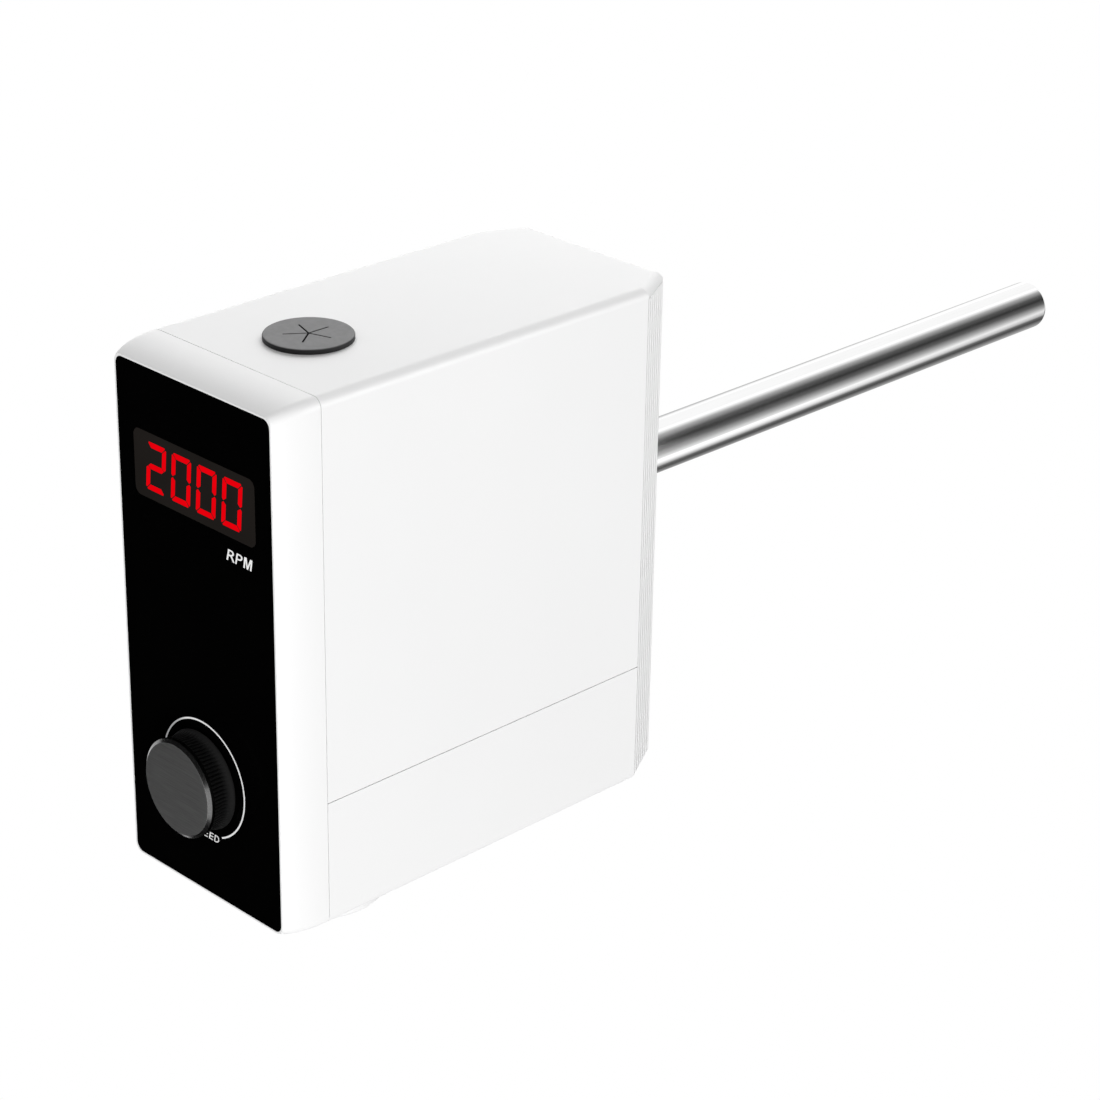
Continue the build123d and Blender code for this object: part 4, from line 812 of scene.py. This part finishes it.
def knob_grip(name):
    """The knob's rubber grip, a surface turned about the knob's axis. Along a smooth curve
    through the stations (distance from the panel, radius) the grip narrows behind the cap and
    flares to a skirt. Between them it is ribbed: the radius at angle a is the curve's radius
    less depth times (0.5 + 0.5 cos(ribs a)) cubed, and the depth fades out into the skirt and
    towards the cap. A spigot hole in front and a nut recess behind close the surface."""
    stations = np.array([
        (9.1, 16.6), (8.8, 16.95), (7.4, 16.75), (6.0, 16.6), (4.6, 16.6), (3.4, 16.75),
        (2.4, 17.05), (1.6, 17.35), (1.1, 17.45), (0.9, 17.3),
    ])
    ribs, depth, rows = 76, 0.75, 60
    around = ribs * 12
    run = np.linspace(0.0, len(stations) - 1.0, rows)
    order = np.arange(len(stations))
    out = np.interp(run, order, stations[:, 0])
    radius = np.interp(run, order, stations[:, 1])
    radius[1:-1] = (radius[:-2] + 2.0 * radius[1:-1] + radius[2:]) / 4.0
    fade = np.clip((out - 2.3) / 2.4, 0.0, 1.0) * np.clip((9.1 - out) / 0.3, 0.0, 1.0)
    inner = np.array([(0.9, 8.0), (4.5, 8.0), (4.5, 3.05), (7.0, 3.05), (7.0, 8.0), (9.1, 8.0)])
    out = np.concatenate([out, inner[:, 0]])
    radius = np.concatenate([radius, inner[:, 1]])
    fade = np.concatenate([fade, np.zeros(len(inner))])
    angle = np.linspace(0.0, 2.0 * math.pi, around, endpoint=False)
    groove = (0.5 + 0.5 * np.cos(ribs * angle)) ** 3
    radius = (radius[:, None] - depth * fade[:, None] * groove) * MM
    points = np.stack([
        radius * np.cos(angle),
        np.broadcast_to(PANEL_FACE - out[:, None] * MM, radius.shape),
        radius * np.sin(angle) + KNOB_AXIS[2],
    ], -1).reshape(-1, 3)
    faces = grid_faces(len(out), around, wrap=True)
    last = (len(out) - 1) * around
    turn = np.arange(around)
    after = (turn + 1) % around
    seam = np.column_stack([last + turn, last + after, after, turn])
    grip = mesh_object(name, points, np.vstack([faces, seam]))
    smooth = np.zeros(len(grip.data.polygons), bool)
    smooth[:(rows - 1) * around] = True
    grip.data.polygons.foreach_set("use_smooth", smooth)
    return grip


def ribbed_rubber(name, dark, painted_skirt_light):
    """The knob's rubber: deep black among the ribs, and painted a little paler on the smooth skirt,
    painted light standing for the light the skirt's flare catches, mottled by a dusty noise.
    """
    finish, tree, shader = new_finish(name, dark, 0.5, specular=0.1)
    where = place(tree)
    ribs_end, skirt_begins = PANEL_FACE - 4.6 * MM, PANEL_FACE - 2.0 * MM
    # painted light: the skirt is painted paler than the ribs to stand for the light it catches; the
    # dust noise only mottles it
    skirt = remap(tree, axis_value(tree, where, "Y"), 0.0, 1.0, ribs_end, skirt_begins)
    dust = remap(tree, noise(tree, where, 160.0, 3.0), 0.85, 1.0, 0.3, 0.7)
    tint(tree, shader, calculate(tree, "MULTIPLY", skirt, dust), [(0.0, dark), (1.0, painted_skirt_light)])
    emboss(tree, shader, noise(tree, where, 1600.0, 3.0), 6.0e-6)
    return finish


def capped_metal(name, colour, roughness):
    """The knob's anodised cap: a face brushed straight across, a bright cut chamfer round it
    and a black side. The zones are told apart by how far they lie behind the face."""
    black, cut_gloss = (0.03, 0.03, 0.03), 0.22
    face_ends, chamfer_ends, reach = 0.03, 0.49, 2.0 * MM
    finish, tree, shader = new_finish(name, colour, roughness, metallic=1.0)
    scratches = noise(tree, place(tree, (0.03, 1.0, 1.0), KNOB_AXIS), 2600.0, 3.0, 0.6)
    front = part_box("knob_cap")[0].y
    behind = remap(tree, axis_value(tree, place(tree), "Y"), 0.0, 1.0, front, front + reach)
    zones = tree.nodes.new("ShaderNodeValToRGB")
    zones.color_ramp.interpolation = "CONSTANT"
    zones.color_ramp.elements[1].position = face_ends
    zones.color_ramp.elements[0].color = (*colour, 1.0)
    zones.color_ramp.elements[1].color = (*shade(colour, 0.58), 1.0)
    zones.color_ramp.elements.new(chamfer_ends).color = (*black, 1.0)
    tree.links.new(behind, zones.inputs["Fac"])
    streaked = tree.nodes.new("ShaderNodeMix")
    streaked.data_type = "RGBA"
    streaked.blend_type = "MULTIPLY"
    streaked.inputs["Factor"].default_value = 1.0
    grey = remap(tree, scratches, 0.84, 1.16, 0.3, 0.7)
    tree.links.new(zones.outputs["Color"], streaked.inputs["A"])
    tree.links.new(grey, streaked.inputs["B"])
    tree.links.new(streaked.outputs["Result"], shader.inputs["Base Color"])
    cut = calculate(tree, "GREATER_THAN", behind, face_ends)
    tree.links.new(remap(tree, cut, roughness, cut_gloss), shader.inputs["Roughness"])
    emboss(tree, shader, scratches, 1.2e-6)
    return finish


class STIRRER_OT_knob(Operator):
    """Shape the ribbed knob and finish it, its cap and the encoder behind it"""

    bl_idname = "stirrer.knob"
    bl_label = "Speed knob"

    def execute(self, context):
        rubber = ribbed_rubber("knob_black", (0.0036,) * 3, (0.0095,) * 3)
        dress(rubber, "speed_knob")
        grip = knob_grip("knob_grip")
        keep_piece(grip, rubber, "knob")
        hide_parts("speed_knob")
        dress(capped_metal("knob_anodised", (0.335,) * 3, 0.5), "knob_cap")
        black = moulded_plastic("encoder_black", (0.03, 0.03, 0.032), 0.5)
        dress(black, "encoder_body", "encoder_plunger")
        steel = turned_metal("encoder_steel", (0.6, 0.6, 0.61), 0.25, "Y", KNOB_AXIS)
        dress(steel, "encoder_shaft")
        return {"FINISHED"}


class STIRRER_OT_seam_shade(Operator):
    """Lay a dark strip in the joint between the bezel and the housing, along the top: painted shade
    that makes the seam line read dark
    """

    bl_idname = "stirrer.seal"
    bl_label = "Joint shade strip"

    def execute(self, context):
        low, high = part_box("upper_housing")
        half, top, foot = high.x - 3.6 * MM, high.z - 0.3 * MM, high.z - 1.1 * MM
        outline = [(-half, foot), (half, foot), (half, top), (-half, top)]
        # painted shade: a dark strip put into the joint where there is only shade, so that the seam
        # along the top reads as a dark line
        strip = mesh_object("seam_seal", *flat_prism(outline, low.y - 0.24 * MM, low.y - 0.01 * MM))
        rubber = soft_rubber("seam_shade_black", (0.01,) * 3, 0.7)
        keep_piece(strip, rubber, "housing")
        return {"FINISHED"}


class STIRRER_OT_top_cap(Operator):
    """Finish the star-slit rubber cap over the hollow spindle"""

    bl_idname = "stirrer.top_cap"
    bl_label = "Top cap"

    def execute(self, context):
        dress(sheen_painted_cap("cap_grey"), "top_cap")
        return {"FINISHED"}


class STIRRER_OT_rod(Operator):
    """Finish the support rod"""

    bl_idname = "stirrer.rod"
    bl_label = "Support rod"

    def execute(self, context):
        dress(polished_metal("rod_polished", (0.94, 0.94, 0.94), 0.08), "support_rod")
        return {"FINISHED"}


class STIRRER_OT_drive(Operator):
    """Finish the motor, the belt drive, the spindle, its bearings and the chuck"""

    bl_idname = "stirrer.drive"
    bl_label = "Drive"

    def execute(self, context):
        steel, about = (0.60, 0.60, 0.61), ("Z", SPINDLE_AXIS)
        dress(cast_metal("chassis_cast", (0.66,) * 3, 0.45), "chassis", "motor_end_cap")
        pulleys = turned_metal("pulley_aluminium", (0.75,) * 3, 0.3)
        dress(pulleys, "spindle_pulley", "motor_pulley")
        spindle = turned_metal("spindle_steel", steel, 0.22, *about)
        dress(spindle, "spindle", "chuck_body", "chuck_nut")
        dress(turned_metal("shaft_steel", steel, 0.22, "Z", MOTOR_AXIS), "motor_shaft")
        jaws = turned_metal("jaw_steel", steel, 0.2, *about, 0.4 * MM)
        dress(jaws, "jaw_1", "jaw_2", "jaw_3")
        ground = turned_metal("bearing_ground", (0.7, 0.7, 0.71), 0.1, *about, depth=3.0e-7)
        dress(ground, "motor_bearings")
        for where in ("upper", "lower"):
            dress(ground, *(f"{where}_bearing_{what}" for what in ("outer", "balls", "inner")))
        dress(soft_rubber("belt_black", (0.02,) * 3, 0.6), "drive_belt")
        paint = moulded_plastic("motor_paint", (0.06, 0.06, 0.065), 0.38, grain=500.0, depth=8.0e-6)
        dress(paint, "motor_case")
        dress(stacked_steel("stator_sheets", (0.3, 0.3, 0.31)), "motor_stator")
        dress(wound_copper("winding_copper", (0.72, 0.34, 0.18)), "motor_windings")
        dress(plated_steel("rotor_magnet", (0.2, 0.2, 0.21), 0.4), "motor_rotor")
        dress(
            plated_steel("steel_black", (0.08, 0.08, 0.085), 0.38),
            "bearing_circlip", "spindle_circlip", "speed_disc", "motor_screws", "rod_lock_screw",
            "base_screws",
        )
        return {"FINISHED"}


class STIRRER_OT_electrics(Operator):
    """Finish the boards, the switch, the inlet and the small fasteners"""

    bl_idname = "stirrer.electrics"
    bl_label = "Electrics"

    def execute(self, context):
        dress(board_lacquer("board_green", (0.02, 0.18, 0.07)), "display_board", "control_board")
        module = moulded_plastic("module_black", (0.03, 0.03, 0.032), 0.5)
        dress(module, "led_display", "speed_sensor", "capacitors")
        switch = moulded_plastic("switch_black", (0.02,) * 3, 0.25)
        dress(switch, "power_switch", "power_rocker", "dc_jack")
        dress(
            plated_steel("screw_zinc", (0.55, 0.55, 0.56), 0.3),
            "board_screws", "cover_screws", "encoder_nut", "board_spacers", "jack_nut",
        )
        return {"FINISHED"}


def sheet_between(name, corner, along, across):
    """A flat sheet: the point at (u, v) is the corner plus u times one side plus v times the
    other, for u and v from 0 to 1."""
    corner, along, across = np.array([corner, along, across])
    u, v = np.meshgrid([0.0, 1.0], [0.0, 1.0], indexing="ij")
    points = corner + u[..., None] * along + v[..., None] * across
    return mesh_object(name, points.reshape(-1, 3), grid_faces(2, 2))


def bare_tree(owner, output_kind):
    """Empties the nodes of a material or world and gives it a new output."""
    owner.use_nodes = True
    tree = owner.node_tree
    tree.nodes.clear()
    return tree, tree.nodes.new(output_kind)


def only_for_gloss(card, level):
    """Lets a card glow evenly at a level, seen by gloss alone, and puts it in the studio."""
    finish = bpy.data.materials.new(card.name)
    tree, output = bare_tree(finish, "ShaderNodeOutputMaterial")
    glow = tree.nodes.new("ShaderNodeEmission")
    glow.inputs["Strength"].default_value = level
    tree.links.new(glow.outputs[0], output.inputs["Surface"])
    card.data.materials.append(finish)
    card.visible_camera = False
    card.visible_diffuse = False
    card.visible_shadow = False
    card.visible_transmission = False
    card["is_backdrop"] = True
    return tree, glow


def bent_card(name, radius, front, back, twist, tones):
    """A stage card bent about the rod's axis: the point at angle a and depth y is
    (radius cos a, y, radius sin a). Its glow runs through the tones, each (angle, level), from
    the first angle to the last, and twist turns the pattern by that many degrees for each metre
    towards the back."""
    first, last = tones[0][0], tones[-1][0]
    rows, columns, unturned = 33, 9, 0.35
    angles, depths = np.linspace(first, last, rows), np.linspace(front, back, columns)
    angle, y = np.meshgrid(angles, depths, indexing="ij")
    turn = np.radians(angle)
    points = np.stack([radius * np.cos(turn), y, radius * np.sin(turn)], -1).reshape(-1, 3)
    card = mesh_object(name, points, grid_faces(rows, columns))
    card.data.uv_layers.new(name="round")
    corners = np.zeros(len(card.data.loops), int)
    card.data.loops.foreach_get("vertex_index", corners)
    turned = (angle - twist * (y - unturned)).ravel()[corners]
    uv = np.column_stack([(turned - first) / (last - first), np.zeros(len(corners))])
    card.data.uv_layers["round"].data.foreach_set("uv", uv.ravel())
    full = max(level for a, level in tones)
    tree, glow = only_for_gloss(card, full)
    where = tree.nodes.new("ShaderNodeUVMap")
    where.uv_map = "round"
    stops = [((a - first) / (last - first), (level / full,) * 3) for a, level in tones]
    ramp = colour_ramp(tree, axis_value(tree, where.outputs["UV"], "X"), stops)
    tree.links.new(ramp, glow.inputs["Color"])


def seen_plainly(tree):
    """1 for rays from the camera, from gloss and through glass, otherwise 0."""
    path = tree.nodes.new("ShaderNodeLightPath")
    value = path.outputs["Is Camera Ray"]
    for name in ("Is Glossy Ray", "Is Transmission Ray"):
        value = calculate(tree, "MAXIMUM", value, path.outputs[name])
    return value


def soft_lamp(name, place_at, aim, width, height, power):
    """An area lamp that faces a point."""
    light = bpy.data.lights.new(name, "AREA")
    light.shape = "RECTANGLE"
    light.size, light.size_y = width, height
    light.energy = power
    lamp = bpy.data.objects.new(name, light)
    lamp.location = place_at
    lamp.rotation_euler = (Vector(aim) - Vector(place_at)).to_track_quat("-Z", "Y").to_euler()
    lamp.visible_camera = False
    lamp.visible_glossy = False
    bpy.context.scene.collection.objects.link(lamp)


class STIRRER_OT_studio(Operator):
    """Set up the floor, the even backdrop, the soft lamps, the reflection cards and the camera"""

    bl_idname = "stirrer.studio"
    bl_label = "Studio"

    def execute(self, context):
        s = context.scene.stirrer
        self.floor(s)
        self.backdrop(context, s)
        self.cards()
        middle = (0.0, -0.09, -0.01)
        soft_lamp("key_lamp", (1.68, -1.39, -0.22), middle, 2.4, 0.36, s.key_power)
        soft_lamp("top_lamp", (-0.80, 1.05, 0.78), middle, 1.5, 0.9, s.top_power)
        self.camera(context, s)
        context.scene.view_settings.view_transform = "Standard"
        return {"FINISHED"}

    def floor(self, s):
        """A pale one-sided floor. Its face points down: from above it is clear and shows the
        backdrop, and from below it is as bright as the backdrop where it is seen plainly."""
        level, side, tone = UNDERSIDE - s.floor_drop, 16.0, 0.85
        corner = (-side / 2, -side / 2, level)
        floor = sheet_between("floor", corner, (side, 0.0, 0.0), (0.0, side, 0.0))
        finish = bpy.data.materials.new("floor_pale")
        tree, output = bare_tree(finish, "ShaderNodeOutputMaterial")
        diffuse = tree.nodes.new("ShaderNodeBsdfDiffuse")
        diffuse.inputs["Color"].default_value = (tone, tone, tone, 1.0)
        glow = tree.nodes.new("ShaderNodeEmission")
        missing = remap(tree, seen_plainly(tree), 0.0, 1.0 - tone * s.ambient)
        tree.links.new(missing, glow.inputs["Strength"])
        lit = tree.nodes.new("ShaderNodeAddShader")
        tree.links.new(diffuse.outputs[0], lit.inputs[0])
        tree.links.new(glow.outputs[0], lit.inputs[1])
        clear = tree.nodes.new("ShaderNodeBsdfTransparent")
        facing = tree.nodes.new("ShaderNodeNewGeometry")
        one_sided = tree.nodes.new("ShaderNodeMixShader")
        tree.links.new(facing.outputs["Backfacing"], one_sided.inputs[0])
        tree.links.new(lit.outputs[0], one_sided.inputs[1])
        tree.links.new(clear.outputs[0], one_sided.inputs[2])
        tree.links.new(one_sided.outputs[0], output.inputs["Surface"])
        floor.data.materials.append(finish)
        floor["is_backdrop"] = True

    def backdrop(self, context, s):
        """An even world: white where it is seen plainly, dimmer as a light."""
        world = bpy.data.worlds.new("even_white")
        tree, output = bare_tree(world, "ShaderNodeOutputWorld")
        light = tree.nodes.new("ShaderNodeBackground")
        light.inputs["Color"].default_value = (1.0, 1.0, 1.0, 1.0)
        tree.links.new(remap(tree, seen_plainly(tree), s.ambient, 1.0), light.inputs["Strength"])
        tree.links.new(light.outputs[0], output.inputs["Surface"])
        context.scene.world = world

    def cards(self):
        """Cards that only gloss sees. Two bent ones give the rod its dark bands, from the right
        and from below, one darkens the panel from the front left, a bright one beside the
        housing lights its fillets, and two flat dark ones show in the knob's cap."""
        for name, radius, front, back, twist, tones in (
            ("card_side", 0.70, 0.63, 2.2, 0.0, (
                (-40, 1.15), (-29, 1.15), (-14, 0.45), (8, 0.12), (28, 0.035), (48, 0.10),
                (68, 0.40), (86, 1.1), (95, 1.1),
            )),
            ("card_under", 0.38, 0.35, 1.5, 48.0, (
                (150, 1.1), (162, 1.0), (176, 0.62), (190, 0.48), (210, 0.48), (232, 0.36),
                (250, 0.22), (270, 0.07), (286, 0.14), (302, 0.75), (314, 1.15), (335, 1.15),
            )),
            ("card_front", 0.42, -1.3, -0.26, 0.0, (
                (185, 1.0), (191, 0.0), (241, 0.0), (249, 1.0),
            )),
            ("card_gleam", 0.64, 0.12, 0.49, 0.0, ((-8, 1.0), (8, 6.5), (24, 6.5), (42, 1.0))),
        ):
            bent_card(name, radius, front, back, twist, tones)
        for name, corner, along, across in (
            ("card_high", (0.34, -0.74, -0.05), (-1.25, 0.50, 0.02), (0.0, 0.08, 0.42)),
            ("card_low", (-0.30, -0.44, -0.38), (0.50, 0.0, 0.0), (0.0, 0.32, 0.0)),
        ):
            only_for_gloss(sheet_between(name, corner, along, across), 0.02)

    def camera(self, context, s):
        """Stands the camera at its place; its axes come from azimuth, elevation and roll."""
        a, e, r = s.camera_azimuth, s.camera_elevation, s.camera_roll
        back = Vector((math.sin(a) * math.cos(e), -math.cos(a) * math.cos(e), math.sin(e)))
        right = Vector((0.0, 0.0, 1.0)).cross(back).normalized()
        up = back.cross(right)
        right, up = right * math.cos(r) + up * math.sin(r), up * math.cos(r) - right * math.sin(r)
        view = bpy.data.cameras.new("camera")
        view.sensor_width = 36.0
        view.lens = s.lens
        view.clip_start, view.clip_end = 0.05, 50.0
        camera = bpy.data.objects.new("camera", view)
        turn = Matrix((right, up, back)).transposed().to_4x4()
        camera.matrix_world = Matrix.Translation(s.camera_place) @ turn
        context.scene.collection.objects.link(camera)
        context.scene.camera = camera


OPERATORS = (
    STIRRER_OT_shell,
    STIRRER_OT_panel,
    STIRRER_OT_digits,
    STIRRER_OT_printing,
    STIRRER_OT_knob,
    STIRRER_OT_seam_shade,
    STIRRER_OT_top_cap,
    STIRRER_OT_rod,
    STIRRER_OT_drive,
    STIRRER_OT_electrics,
    STIRRER_OT_studio,
)


class STIRRER_PT_sidebar(Panel):
    """Lists the stirrer's pieces, finishes and studio"""

    bl_idname = "STIRRER_PT_sidebar"
    bl_label = "Overhead stirrer"
    bl_space_type = "VIEW_3D"
    bl_region_type = "UI"
    bl_category = "Stirrer"

    def draw(self, context):
        for operator in OPERATORS:
            self.layout.operator(operator.bl_idname)
        for name in StirrerSettings.__annotations__:
            self.layout.prop(context.scene.stirrer, name)


CLASSES = (StirrerSettings, *OPERATORS, STIRRER_PT_sidebar)


def register():
    for cls in CLASSES:
        bpy.utils.register_class(cls)
    bpy.types.Scene.stirrer = PointerProperty(type=StirrerSettings)


def unregister():
    del bpy.types.Scene.stirrer
    for cls in reversed(CLASSES):
        bpy.utils.unregister_class(cls)


def main():
    """Registers the add-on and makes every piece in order."""
    register()
    kept = set(frame["nodes"].values()) | set(frame["bodies"].values())
    for other in [o for o in bpy.data.objects if o not in kept]:
        bpy.data.objects.remove(other)
    for operator in OPERATORS:
        group, name = operator.bl_idname.split(".")
        getattr(getattr(bpy.ops, group), name)()
    boxes = {"cad": cad_box, "visual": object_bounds()}
    boxes = {name: [list(corner) for corner in box] for name, box in boxes.items()}


if __name__ == "__main__":
    main()
